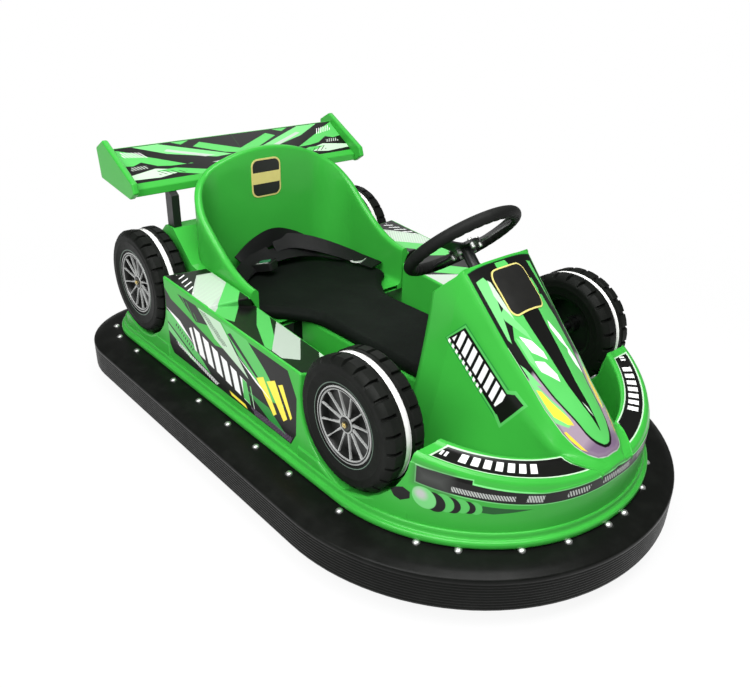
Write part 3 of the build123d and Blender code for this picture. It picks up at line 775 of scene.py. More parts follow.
# ---- mesh helpers
@dataclass
class Shape:
    """Vertices and faces gathered for one piece, in millimetres."""

    vertices: list[Vector] = field(default_factory=list)
    faces: list[tuple[int, ...]] = field(default_factory=list)
    paints: list[int] = field(default_factory=list)

    def grid(self, rows: Sequence[Row], loop: bool = False, ring: bool = False, paint: int = 0) -> "Shape":
        """Adds quads between rows of equal length.

        Args:
            rows: the rows of points.
            loop: joins each row's last point to its first.
            ring: joins the last row to the first.
            paint: the faces' material number.

        Returns:
            The shape itself.
        """
        start, width = len(self.vertices), len(rows[0])
        for row in rows:
            self.vertices.extend(Vector(p) for p in row)
        for i in range(len(rows) if ring else len(rows) - 1):
            for j in range(width if loop else width - 1):
                a, b = start + i * width, start + (i + 1) % len(rows) * width
                k = (j + 1) % width
                self._face((a + j, a + k, b + k, b + j), paint)
        return self

    def _face(self, corners: tuple[int, ...], paint: int) -> None:
        """Adds one face."""
        self.faces.append(corners)
        self.paints.append(paint)

    def cap(self, row: Row, paint: int = 0) -> "Shape":
        """Adds one flat face round a row of points."""
        start = len(self.vertices)
        self.vertices.extend(Vector(p) for p in row)
        self._face(tuple(range(start, start + len(row))), paint)
        return self

    def turned(self, profile: Sequence[Point], place: Matrix, steps: int = 48, paint: int = 0,
               closed: bool = True) -> "Shape":
        """Adds a profile of (radius, height) turned about the place's Z axis."""
        rows = []
        for k in range(steps):
            angle = math.tau * k / steps
            rows.append([place @ Vector((r * math.cos(angle), r * math.sin(angle), h)) for r, h in profile])
        return self.grid(rows, loop=closed, ring=True, paint=paint)

    def bar(self, rows: Sequence[Row], paint: int = 0) -> "Shape":
        """Adds a solid through closed rows, with a flat face at both ends."""
        return self.grid(rows, loop=True, paint=paint).cap(rows[0], paint).cap(rows[-1], paint)

    def prism(self, outline: Sequence[Point], place: Matrix, depth: float, paint: int = 0) -> "Shape":
        """Adds a flat outline in the place's XY plane, drawn out along its Z by depth."""
        return self.bar([[place @ Vector((x, y, z)) for x, y in outline] for z in (0.0, depth)], paint)

    def repaint(self, columns: Iterable[int], width: int, paint: int, start: int = 0) -> None:
        """Changes the material number of some columns of a grid.

        Args:
            columns: the columns' numbers.
            width: how many columns the grid has.
            paint: the new material number.
            start: the grid's first face.
        """
        for k in range(start, len(self.faces)):
            if (k - start) % width in columns:
                self.paints[k] = paint


@dataclass
class Piece:
    """How one shape becomes an object that rides on a body."""

    name: str
    body: str
    finishes: Sequence[Any]
    stands_for: Sequence[str] = ()
    slot: str | None = None
    sharp: float = 35.0
    bevel: float = 0.0
    bevel_steps: int = 3
    bevel_angle: float = 30.0

    def make(self, shape: Shape) -> bpy.types.Object:
        """Builds the object.

        Args:
            shape: the vertices and faces, in millimetres.

        Returns:
            The object, riding on its body and standing for its nodes.
        """
        mesh = bpy.data.meshes.new(self.name)
        mesh.from_pydata([tuple(v * MM) for v in shape.vertices], [], shape.faces)
        for face, paint in zip(mesh.polygons, shape.paints):
            face.material_index = paint
        self._tidy(mesh)
        for finish in self.finishes:
            mesh.materials.append(made(finish))
        mesh.shade_smooth()
        if self.bevel == 0:
            mesh.set_sharp_from_angle(angle=math.radians(self.sharp))
        piece = bpy.data.objects.new(self.name, mesh)
        bpy.context.scene.collection.objects.link(piece)
        self._soften(piece)
        return self.attach(piece)

    def attach(self, piece: bpy.types.Object) -> bpy.types.Object:
        """Puts a ready object on its body, in place of its nodes."""
        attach(piece, self.body)
        if self.stands_for:
            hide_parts(*self.stands_for)
        return piece

    @staticmethod
    def _tidy(mesh: bpy.types.Mesh) -> None:
        """Joins meeting points, drops empty faces and turns the faces outwards."""
        work = bmesh.new()
        work.from_mesh(mesh)
        bmesh.ops.remove_doubles(work, verts=work.verts, dist=0.02 * MM)
        bmesh.ops.dissolve_degenerate(work, edges=work.edges, dist=0.005 * MM)
        bmesh.ops.recalc_face_normals(work, faces=work.faces)
        work.to_mesh(mesh)
        work.free()

    def _soften(self, piece: bpy.types.Object) -> None:
        """Adds the rounding that the piece asks for."""
        if self.bevel:
            rounding = rounded_edges(piece, self.bevel, self.bevel_steps, self.bevel_angle)
            rounding.harden_normals = True
            rounding.miter_outer = "MITER_ARC"


def rounded_edges(piece: bpy.types.Object, radius: float, steps: int, angle: float = 30.0) -> bpy.types.Modifier:
    """Rounds a piece's edges that are sharper than an angle, by a radius in millimetres."""
    rounding = piece.modifiers.new("rounding", "BEVEL")
    rounding.width = radius * MM
    rounding.segments = steps
    rounding.limit_method = "ANGLE"
    rounding.angle_limit = math.radians(angle)
    return rounding


def at(spot: Sequence[float], *turns: tuple[float, str]) -> Matrix:
    """A place at a spot, turned about its own axes one after another, in degrees."""
    place = Matrix.Translation(spot)
    for degrees, axis in turns:
        place = place @ Matrix.Rotation(math.radians(degrees), 4, axis)
    return place


def spread(low: float, high: float, count: int) -> list[float]:
    """Evenly spaced numbers from low to high, both ends in."""
    return [low + (high - low) * k / (count - 1) for k in range(count)]


def mirrored(half: list[Vector]) -> list[Vector]:
    """A whole line from its left half, from the right end to the left."""
    return [Vector((p.x, -p.y, p.z)) for p in half[:0:-1]] + half


def smooth_step(share: float) -> float:
    """An ease between 0 and 1."""
    held = min(1.0, max(0.0, share))
    return held * held * (3 - 2 * held)


def along_table(table: Sequence[Sizes], station: float) -> Sizes:
    """The row of a table at a station, eased between its neighbours.

    Args:
        table: rows that start with their station, in order.
        station: where the row is wanted.

    Returns:
        The row's other numbers.
    """
    for before, after in zip(table, table[1:]):
        if station <= after[0]:
            share = max(0.0, (station - before[0]) / (after[0] - before[0]))
            return tuple(p + (q - p) * share for p, q in zip(before[1:], after[1:]))
    return tuple(table[-1][1:])


@dataclass(frozen=True)
class Outline:
    """A closed plan: nose arc, two corner arcs, straight flanks, rounded rear corners."""

    half_width: float
    front: float
    rear: float
    corner: float
    rear_corner: float
    nose_half_angle: float = 15.0

    def mixed(self, other: "Outline", share: float) -> "Outline":
        """The outline a share of the way to another."""
        mine = (self.half_width, self.front, self.rear, self.corner, self.rear_corner)
        theirs = (other.half_width, other.front, other.rear, other.corner, other.rear_corner)
        return Outline(*(p + (q - p) * share for p, q in zip(mine, theirs)))

    def half(self) -> list[Point]:
        """Points from the nose's tip round the left side to the middle of the tail."""
        turn = math.radians(self.nose_half_angle)
        beyond = self.half_width - self.corner
        nose_r = self.corner + beyond / math.sin(turn)
        nose_x = self.front - nose_r
        corner_x = nose_x + beyond / math.tan(turn)
        points = [(nose_x + nose_r * math.cos(a), nose_r * math.sin(a)) for a in spread(0, turn, 9)]
        for a in spread(turn, math.pi / 2, 25)[1:]:
            points.append((corner_x + self.corner * math.cos(a), beyond + self.corner * math.sin(a)))
        tail_x, tail_y = self.rear + self.rear_corner, self.half_width - self.rear_corner
        points += [(x, self.half_width) for x in spread(corner_x, tail_x, 25)[1:]]
        for a in spread(math.pi / 2, math.pi, 17)[1:]:
            points.append((tail_x + self.rear_corner * math.cos(a), tail_y + self.rear_corner * math.sin(a)))
        points += [(self.rear, y) for y in spread(tail_y, 0.0, 6)[1:]]
        return points

    def reach(self, x: float) -> float:
        """The outline's half width at a station."""
        points = self.half()
        for (xa, ya), (xb, yb) in zip(points, points[1:]):
            if xb <= x <= xa:
                return ya + (yb - ya) * (0 if xa == xb else (xa - x) / (xa - xb))
        return 0.0

    def whole(self, z: float) -> list[Vector]:
        """The closed outline at a height."""
        half = self.half()
        return [Vector((x, y, z)) for x, y in half] + [Vector((x, -y, z)) for x, y in half[-2:0:-1]]


def swept(outer: Outline, inner: Outline, rows: Iterable[Point]) -> list[list[Vector]]:
    """Rows of a moulding that follows an outline; each row is a share of the way inwards and a height."""
    return [outer.mixed(inner, share).whole(z) for share, z in rows]


# ---- studio
@dataclass
class Studio:
    """Camera, soft lamps, pale floor and backdrop."""

    eye: Vector = field(default_factory=lambda: Vector((1395.2, -1234.9, 1185.0)))
    azimuth: float = 47.99
    elevation: float = 26.92
    roll: float = 1.67
    lens: float = 35.69
    ambient: float = 0.13
    floor_half: float = 60.0
    # each soft lamp's name, place and width in metres, and watts
    lamps: tuple[tuple[str, Point3, float, float], ...] = (
        ("key", (0.9, -2.6, 3.0), 2.4, 150.0), ("top", (1.3, -0.2, 4.1), 2.4, 160.0),
        ("back", (-2.4, 1.6, 3.2), 2.6, 40.0))

    def camera(self) -> None:
        """Makes the scene's camera."""
        azimuth, elevation, roll = (math.radians(a) for a in (self.azimuth, self.elevation, self.roll))
        back = Vector((math.sin(azimuth) * math.cos(elevation), -math.cos(azimuth) * math.cos(elevation),
                       math.sin(elevation)))
        level = Vector((math.cos(azimuth), math.sin(azimuth), 0.0))
        upright = back.cross(level)
        right = level * math.cos(roll) + upright * math.sin(roll)
        up = upright * math.cos(roll) - level * math.sin(roll)
        data = bpy.data.cameras.new("camera")
        data.lens = self.lens
        data.sensor_width = 36.0
        camera = bpy.data.objects.new("camera", data)
        turn = Matrix((right, up, back)).transposed().to_4x4()
        camera.matrix_world = Matrix.Translation(self.eye * MM) @ turn
        bpy.context.scene.collection.objects.link(camera)
        bpy.context.scene.camera = camera

    def lamp(self, name: str, place: Point3, size: float, watts: float) -> None:
        """Adds a square soft lamp, in metres, that looks at the car."""
        data = bpy.data.lights.new(name, "AREA")
        data.shape = "SQUARE"
        data.size = size
        data.energy = watts
        lamp = bpy.data.objects.new(name, data)
        lamp.location = place
        lamp.rotation_euler = (Vector(place) - Vector((0, 0, 0.3))).to_track_quat("Z", "Y").to_euler()
        bpy.context.scene.collection.objects.link(lamp)

    def world(self) -> None:
        """A white surround that camera and transmission rays see, with plainer light from it."""
        world = bpy.data.worlds.new("studio")
        bpy.context.scene.world = world
        graph = Graph(world)
        seen = graph.node("ShaderNodeLightPath", output="Is Camera Ray")
        through = Value(graph, seen.socket.node.outputs["Is Transmission Ray"])
        strength = graph.node("ShaderNodeMapRange", inputs={
            "To Min": self.ambient, "To Max": 1.0, "Value": seen | through}, output="Result")
        graph.end(graph.node("ShaderNodeBackground", inputs={
            "Color": (1.0, 1.0, 1.0), "Strength": strength}), "ShaderNodeOutputWorld")

    def floor(self) -> None:
        """A pale floor that keeps the car's shadow."""
        half = self.floor_half
        mesh = bpy.data.meshes.new("floor")
        mesh.from_pydata([(-half, -half, 0), (half, -half, 0), (half, half, 0), (-half, half, 0)], [],
                         [(0, 1, 2, 3)])
        graph = Graph.of("pale_floor")
        path = graph.node("ShaderNodeLightPath", output="Is Camera Ray")
        cloud = graph.noise(0.8, 2.0)
        colour = graph.blend((0.80, 0.80, 0.80), (0.84, 0.84, 0.84), cloud)
        matt = graph.node("ShaderNodeBsdfDiffuse", inputs={"Color": colour})
        glow = graph.node("ShaderNodeEmission", inputs={"Color": (1.0, 1.0, 1.0), "Strength": 1.0})
        x, y, _ = graph.axes()
        far = graph.distance(x, y).over(1.5, 1.6) * 0.10 + 0.90
        mixed = graph.node("ShaderNodeMixShader", inputs={0: path * (far - 0.74) + 0.74, 1: matt, 2: glow})
        mesh.materials.append(graph.end(mixed))
        floor = bpy.data.objects.new("floor", mesh)
        bpy.context.scene.collection.objects.link(floor)

    def build(self) -> None:
        """Sets up everything that isn't part of the car."""
        bpy.context.scene.view_settings.view_transform = "Standard"
        self.camera()
        self.world()
        for lamp in self.lamps:
            self.lamp(*lamp)
        self.floor()


# ---- shared sizes
LIP = Outline(434.0, 810.0, -812.0, 420.0, 180.0)
PLINTH = Outline(424.0, 799.0, -802.0, 412.0, 170.0)
WALL = Outline(420.0, 795.0, -798.0, 410.0, 166.0)
WELL = Outline(412.0, 787.0, -790.0, 402.0, 158.0)
PLINTH_TOP = 178.0
FLOOR_TOP = 158.0
ARCH_R, ARCH_RISE = 165.0, 8.0


@dataclass(frozen=True)
class Axle:
    """One axle of show wheels: its station, height and the outer face of its wheels."""

    corner: Corner
    x: float
    z: float
    outer_face: float

    def before(self, z: float) -> float:
        """Where the wheel opening's front edge lies at a height."""
        reach = min(abs(z - self.z - ARCH_RISE), ARCH_R)
        return self.x + math.sqrt(ARCH_R * ARCH_R - reach * reach)

    def behind(self, z: float) -> float:
        """Where the wheel opening's rear edge lies at a height."""
        return 2 * self.x - self.before(z)

    def floor(self, x: float) -> float:
        """The height of the opening's underside at a station, or a great height beyond it."""
        reach = abs(x - self.x)
        return self.z + ARCH_RISE - math.sqrt(ARCH_R * ARCH_R - reach * reach) if reach < ARCH_R else math.inf


FRONT_AXLE = Axle(Corner.FRONT, 395.0, 338.0, 420.0)
REAR_AXLE = Axle(Corner.REAR, -540.0, 355.5, 430.0)


def frame_mm(node: str) -> tuple[Vector, Vector]:
    """A node's lowest and highest corners, in millimetres."""
    low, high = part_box(node)
    return low / MM, high / MM


# ---- bumper
@dataclass
class BumperRing:
    """The ribbed rubber ring and the row of domed bolts that holds it."""

    corner: float = 521.0
    rear_corner: float = 254.0
    crease: float = 130.0
    ribs: int = 9
    rib_pitch: float = 7.2
    rib_depth: float = 1.4
    # the bolts of one half, from the rear corner to the nose
    bolt_spots: Corners = (
        (-827, 60), (-827, 190), (-806, 348), (-734, 424), (-657, 448), (-538, 449),
        (-311, 449), (-170, 449), (-24, 449), (104, 449), (242, 449), (417, 442),
        (592, 383), (663, 334), (745, 235), (790, 140), (813, 30))
    bolt_radius: float = 8.8

    def __post_init__(self) -> None:
        """Takes the overall sizes from the frame."""
        low, high = frame_mm("bumper_ring")
        self.bottom, self.top = low.z, high.z
        self.outline = Outline(high.y, high.x, low.x, self.corner, self.rear_corner)
        self.depth = self.outline.half_width - LIP.half_width

    def rows(self) -> list[Point]:
        """The ring's section: a share of the way in to the lip, and a height."""
        inner = (self.outline.half_width - PLINTH.half_width) / self.depth
        rows = [(inner, self.bottom), (0.06, self.bottom), (0.015, self.bottom + 2.5), (0.0, self.bottom + 7)]
        cut = self.rib_depth / self.depth
        for k in range(self.ribs):
            z = self.bottom + 9 + k * self.rib_pitch
            rows += [(0.0, z), (cut, z + 1.6), (cut, z + 2.8), (0.0, z + 4.4)]
        rows += [(share, self.crease + rise) for share, rise in (
            (0, -4), (0.006, -1), (0.025, 1.2), (0.06, 2.6), (0.09, 3.2), (0.20, 7), (0.36, 9.5), (0.55, 11.5),
            (0.80, 13))]
        rows += [(1.0, self.top), (inner, self.top)]
        return rows

    def ring(self) -> None:
        """Builds the rubber ring."""
        shape = Shape().grid(swept(self.outline, LIP, self.rows()), loop=True, ring=True)
        Piece("bumper", "car", [BUMPER_RUBBER], ["bumper_ring"], "bumper_rubber", sharp=50).make(shape)

    def bolts(self) -> None:
        """Builds the domed bolts on their rubber washers, the same on both sides."""
        shape = Shape()
        r = self.bolt_radius
        for x, y in [*self.bolt_spots, *((x, -y) for x, y in self.bolt_spots)]:
            seat = at((x, y, self.crease + 12.5))
            shape.turned([(0.01, -3), (r * 1.3, -3), (r * 1.35, 0.4), (r * 1.02, 1.0)], seat, 16, 1)
            shape.turned([(r, 0.5), (r * 0.94, 3), (r * 0.7, 5.2), (r * 0.36, 6.4), (0.01, 6.8)], seat, 16, 0,
                         closed=False)
        Piece("bumper_bolts", "car", [ZINC, TRIM_BLACK], slot="zinc_steel", sharp=60).make(shape)

    def build(self) -> None:
        """Builds the whole bumper."""
        self.ring()
        self.bolts()


# ---- body mouldings
@dataclass
class BaseTray:
    """Rolled lip, plinth, skirt, floor, centre tunnel and the wells under the show wheels."""

    skirt_bottom: float = 70.0
    tunnel_half: float = 125.0
    tunnel_top: float = 305.5
    tunnel_x: Point = (-151.5, 430.0)
    drive_x: float = 560.0
    drive_bay: float = 135.0
    seat_bay: Point3 = (-655.0, -250.0, 262.0)
    floor_thick: float = 8.0
    wells: tuple[tuple[Axle, float, float, float, float], ...] = (
        (FRONT_AXLE, 232.5, 561.5, 300, 205), (REAR_AXLE, -660, -375.5, 312.5, 222))

    def rim(self) -> Shape:
        """The lip and plinth all round, as one closed section."""
        wide = LIP.half_width - WELL.half_width
        rows = [(12, self.skirt_bottom), (12, 144.5), (6, 145), (2, 146.5), (0.3, 149.5), (0, 153),
                (0, 157), (0.6, 160), (2.2, 162.2), (4.6, 163.2), (7, 163.4), (8.6, 164.6), (9.6, 167),
                (9.9, 170), (10.2, 175), (11, 177.3), (12.8, 178.4), (15.5, 178.6), (wide, PLINTH_TOP),
                (wide, self.skirt_bottom)]
        return Shape().grid(swept(LIP, WELL, [(d / wide, z) for d, z in rows]), loop=True, ring=True)

    def floor(self) -> Shape:
        """The floor in strips round the drive bay and the seat's opening."""
        shape = Shape()
        x0, x1, half = self.seat_bay

        def inner(x: float) -> float:
            """The half width of the opening in the floor at a station."""
            if x0 < x < x1:
                return half
            reach = abs(x - self.drive_x)
            return math.sqrt(self.drive_bay ** 2 - reach ** 2) if reach < self.drive_bay else 0.0

        stations = sorted({*spread(-788, 785, 60), x0 - 0.5, x0 + 0.5, x1 - 0.5, x1 + 0.5,
                           *spread(self.drive_x - self.drive_bay + 0.1, self.drive_x + self.drive_bay - 0.1, 25)})
        for side in Side:
            rows = []
            for x in stations:
                a, b = side.value * inner(x), side.value * (WELL.reach(x) + 2)
                under = FLOOR_TOP - self.floor_thick
                rows.append([Vector((x, a, FLOOR_TOP)), Vector((x, b, FLOOR_TOP)), Vector((x, b, under)),
                             Vector((x, a, under))])
            shape.grid(rows, loop=True)
        return shape

    def well(self, axle: Axle, x0: float, x1: float, inner: float, top: float, side: Side) -> Shape:
        """One block under a show wheel, hollowed to the wheel's opening."""
        arch = spread(axle.behind(top), axle.before(top), 25)
        stations = sorted({x0, x1, *(x for x in arch if x0 < x < x1)})
        rows = []
        for x in stations:
            z = max(min(top, axle.floor(x)), PLINTH_TOP - 4)
            y0, y1 = side.value * inner, side.value * (WALL.reach(x) + 1.0)
            rows.append([Vector((x, y0, FLOOR_TOP)), Vector((x, y0, z)), Vector((x, y1, z)),
                         Vector((x, y1, FLOOR_TOP))])
        return Shape().bar(rows)

    def tunnel(self) -> Shape:
        """The box down the middle of the floor."""
        (x0, x1), half, low = self.tunnel_x, self.tunnel_half, FLOOR_TOP - 1
        return Shape().prism([(x0, -half), (x1, -half), (x1, half), (x0, half)], at((0, 0, low)),
                             self.tunnel_top - low)

    def build(self) -> None:
        """Builds the tray as one rim piece, one floor piece and its wells."""
        Piece("tray_rim", "car", [BODY], ["base_tray"], "body_green", sharp=48).make(self.rim())
        Piece("tray_floor", "car", [BODY], slot="body_green", sharp=40).make(self.floor())
        Piece("tray_tunnel", "car", [BODY], slot="body_green", bevel=9).make(self.tunnel())
        for axle, x0, x1, inner, top in self.wells:
            for side in Side:
                shape = self.well(axle, x0, x1, inner, top, side)
                name = f"wheel_well_{axle.corner.value}_{side.label}"
                Piece(name, "car", [BODY], slot="body_green", bevel=6.5, bevel_angle=24).make(shape)


@dataclass
class SidePod:
    """Moulded flank between the wheels: upright face, crease, top that falls inwards, inner wall."""

    side: Side
    levels: int = 9
    stations: int = 24
    rear: Sizes = (-375.0, 419.0, 427.0, 283.0, 418.0)
    step: Sizes = (-152.0, 414.0, 411.0, 283.0, 404.0)
    step_front: Sizes = (-152.0, 414.0, 411.0, 262.0, 370.0)
    front: Sizes = (232.0, 404.0, 385.0, 262.0, 338.0)

    def rows(self, start: Sequence[float], end: Sequence[float], foot: float) -> list[list[Vector]]:
        """One run of the pod between two sections.

        Args:
            start: the rear section's station, crease Y and Z, inner Y and Z.
            end: the front section, in the same order.
            foot: how low the inner wall reaches.

        Returns:
            The run's sections, from the rear.
        """
        rows = []
        for s in spread(0.0, 1.0, self.stations):
            _, crease_y, crease_z, inner_y, inner_z = (p + (q - p) * s for p, q in zip(start, end))
            base_y = WALL.half_width - 1.0
            outer = [(base_y + (crease_y - base_y) * k, PLINTH_TOP - 2 + (crease_z - PLINTH_TOP + 2) * k)
                     for k in spread(0.0, 1.0, self.levels)]
            inner = [(inner_y, foot + (inner_z - foot) * k) for k in spread(1.0, 0.0, self.levels)]
            row = []
            for y, z in [*outer, *inner]:
                x0 = REAR_AXLE.before(z) if start is self.rear and z < REAR_AXLE.z + ARCH_RISE else start[0]
                x1 = FRONT_AXLE.behind(z) if end is self.front and z < FRONT_AXLE.z + ARCH_RISE else end[0]
                row.append(Vector((x0 + (x1 - x0) * s, self.side.value * y, z)))
            rows.append(row)
        return rows

    def build(self) -> None:
        """Builds the pod, with the step in its inner wall, as one piece."""
        rows = self.rows(self.rear, self.step, PLINTH_TOP) + self.rows(self.step_front, self.front, FLOOR_TOP)
        shape = Shape().grid(rows, loop=True)
        for row in (rows[0], rows[-1]):
            n = len(row)
            shape.grid([row[:n // 2], [row[n - 1 - k] for k in range(n // 2)]])
        name = f"side_pod_{self.side.label}"
        Piece(f"flank_{self.side.label}", "car", [POD_LIVERY], [name], "body_green", bevel=5.0,
              bevel_angle=28).make(shape)


@dataclass
class NoseCowl:
    """The tapering nose: crowned panel, flared sides, a dash facet, and a tip that runs out on the shelf."""

    dash: Corners = (
        (352, 549), (404, 597.5), (410, 607), (415, 614), (419, 617))
    # station, half width and height of the panel's edge, crown, its roundness, hip half width and height, foot
    table: tuple[Sizes, ...] = (
        (352, 107.5, 680, 6, 4, 133, 535, 214),
        (419, 104.5, 613, 7.5, 4, 128, 540, 214),
        (450, 102, 580, 17, 2.6, 125, 513, 207),
        (500, 99, 527, 26, 2.2, 121, 470, 196),
        (550, 96, 475, 29.5, 2, 117, 423, 185),
        (600, 92, 427, 31, 2, 113, 378, 172),
        (652, 86.5, 373, 34, 2, 107.5, 334, 152),
        (700, 80, 333, 34.5, 2, 104, 305, 128),
        (716, 75, 319, 34, 2, 101.5, 301, 118),
        (726, 70, 312, 31, 2, 99, 298, 110),
        (735, 65, 306, 27, 2, 96, 296, 104),
        (744, 60, 301, 22, 2, 92, 293, 98),
        (752, 54, 297.8, 17, 2, 87.5, 291, 92),
        (760, 48, 294.8, 11.5, 2, 81, 288.5, 86),
        (768, 40, 291.8, 7.5, 2, 74, 286.5, 78),
        (773, 34, 289, 5.5, 2, 70, 285, 74),
        (778, 30, 285.8, 3.5, 2, 66, 283.5, 70),
        (784, 27, 282, 1.6, 2, 61.5, 281.6, 66),
        (789, 25, 278.6, 0.8, 2, 58, 280, 62),
        (793, 24, 274, 0.4, 2, 56, 276, 60),
    )
    petal: Corners = (
        (690, 109), (715, 104), (743, 94), (760, 82), (772, 72), (784, 62), (793, 55))
    tip_x: float = 793.0

    def flank(self, row: Sequence[float], z: float) -> float:
        """The flank's half width at a height, from its section's row."""
        panel, top, _, _, hip, hip_z, foot = row
        if z >= hip_z:
            return hip + (panel + 5.0 - hip) * min(1.0, (z - hip_z) / (top - 5.0 - hip_z))
        return hip + (foot - hip) * ((hip_z - z) / (hip_z - FLOOR_TOP)) ** 1.35

    def side(self, row: Sequence[float], top: float) -> list[Point]:
        """The side of a section as half widths and heights, from its panel's edge to the floor."""
        hip_z = min(row[5], top - 8.0)
        heights = [*spread(top, hip_z, 5), *spread(hip_z, FLOOR_TOP + 1, 10)[1:]]
        return [(self.flank(row, z), z) for z in heights]

    def run_out(self, x: float, row: Sequence[float]) -> list[Point]:
        """The side of a section at the tip: a hollow sweep to a rounded bead that lies on the shelf."""
        y0, z0 = row[0] + 3.0, row[1] - 2.5
        sink = 5.5 * smooth_step((x - 776.0) / 17.0)
        y1, z1 = along_table(self.petal, x)[0] - 3.5, shelf(x) + 1.0 - sink
        sweep = [(y0 + (y1 - y0) * k, z1 + (z0 - z1) * (1 - k) ** 1.9) for k in spread(0.0, 1.0, 9)]
        bead = [(y1 + 1.2, z1 + 1.6), (y1 + 2.6, z1 + 1.9), (y1 + 3.8, z1 + 0.9), (y1 + 4.4, z1 - 1.6)]
        return [*sweep, *bead, (y1 + 4.6, z1 - 12.0)]

    def section(self, x: float) -> list[Vector]:
        """Half of the cowl's section at a station, from the middle of the top to the foot."""
        row = along_table(self.table, x)
        panel, top, crown, power = row[:4]
        if x < self.dash[-1][0]:
            height = along_table(self.dash, x)[0]
            reach = self.flank(row, height) if height < top - 5.0 else panel + 2.0
            points = [(reach * k, height) for k in (*spread(0.0, 0.9, 12), 0.96, 0.985)]
            points.append((reach, height - 1.8))
            return [Vector((x, y, z)) for y, z in [*points, *self.side(row, height - 5.0)]]
        points = [(panel * k, top + crown * (1 - k ** power)) for k in (*spread(0.0, 0.9, 12), 0.96, 1.0)]
        points.append((panel + 2.6, top - 1.6))
        share = smooth_step((x - 690.0) / 36.0)
        straight = self.side(row, top - 5.0)
        side = [(p + (u - p) * share, q + (v - q) * share)
                for (p, q), (u, v) in zip(straight, self.run_out(x, row))]
        return [Vector((x, y, z)) for y, z in [*points, *side]]

    def skin(self, stations: Sequence[float]) -> Shape:
        """The outer skin over some stations."""
        return Shape().grid([mirrored(self.section(x)) for x in stations])

    def build(self) -> None:
        """Builds the cowl with its wall thickness, and its plate."""
        stations = [*spread(352, 404, 6), 407, 410, 412.5, 415, 417, 418.9, 420.5, *spread(424, 696, 40),
                    *spread(702, self.tip_x, 30)]
        piece = Piece("nose", "car", [COWL_LIVERY], ["nose_cowl"], "body_green", sharp=62).make(
            self.skin(stations))
        wall = piece.modifiers.new("wall", "SOLIDIFY")
        wall.thickness = 5 * MM
        wall.offset = -1.0
        self.plate()

    def plate(self) -> None:
        """A blank dark plate with a pale edge, bent over the panel below its top."""
        shape = Shape()
        middle = 481.5
        for grow, lift, paint in ((0, 1.8, 1), (-3, 2.3, 0)):
            corners = [(middle + v, u) for u, v in rounded(108 + 2 * grow, 85 + 2 * grow, 19 + grow)]
            outline = [(x0 + (x1 - x0) * k, y0 + (y1 - y0) * k)
                       for (x0, y0), (x1, y1) in edges(corners)
                       for k in spread(0.0, 1.0, 2 + int(math.hypot(x1 - x0, y1 - y0) / 6))[:-1]]
            rings = []
            for share in (1.0, 0.85, 0.7, 0.55, 0.4, 0.25, 0.02):
                rings.append([self._on_panel(middle + (x - middle) * share, y * share, lift) for x, y in outline])
            rings.insert(0, [self._on_panel(x, y, -0.5) for x, y in outline])
            shape.grid(rings, loop=True, paint=paint).cap(rings[-1], paint)
        Piece("nose_plate", "car", [PLATE_INK, PLATE_YELLOW], slot="body_green", sharp=40).make(shape)

    def _on_panel(self, x: float, y: float, lift: float) -> Vector:
        """A point a little above the panel."""
        panel, top, crown, power = along_table(self.table, x)[:4]
        z = top + crown * (1 - (abs(y) / panel) ** power)
        return Vector((x + lift * 0.71, y, z + lift * 0.71))


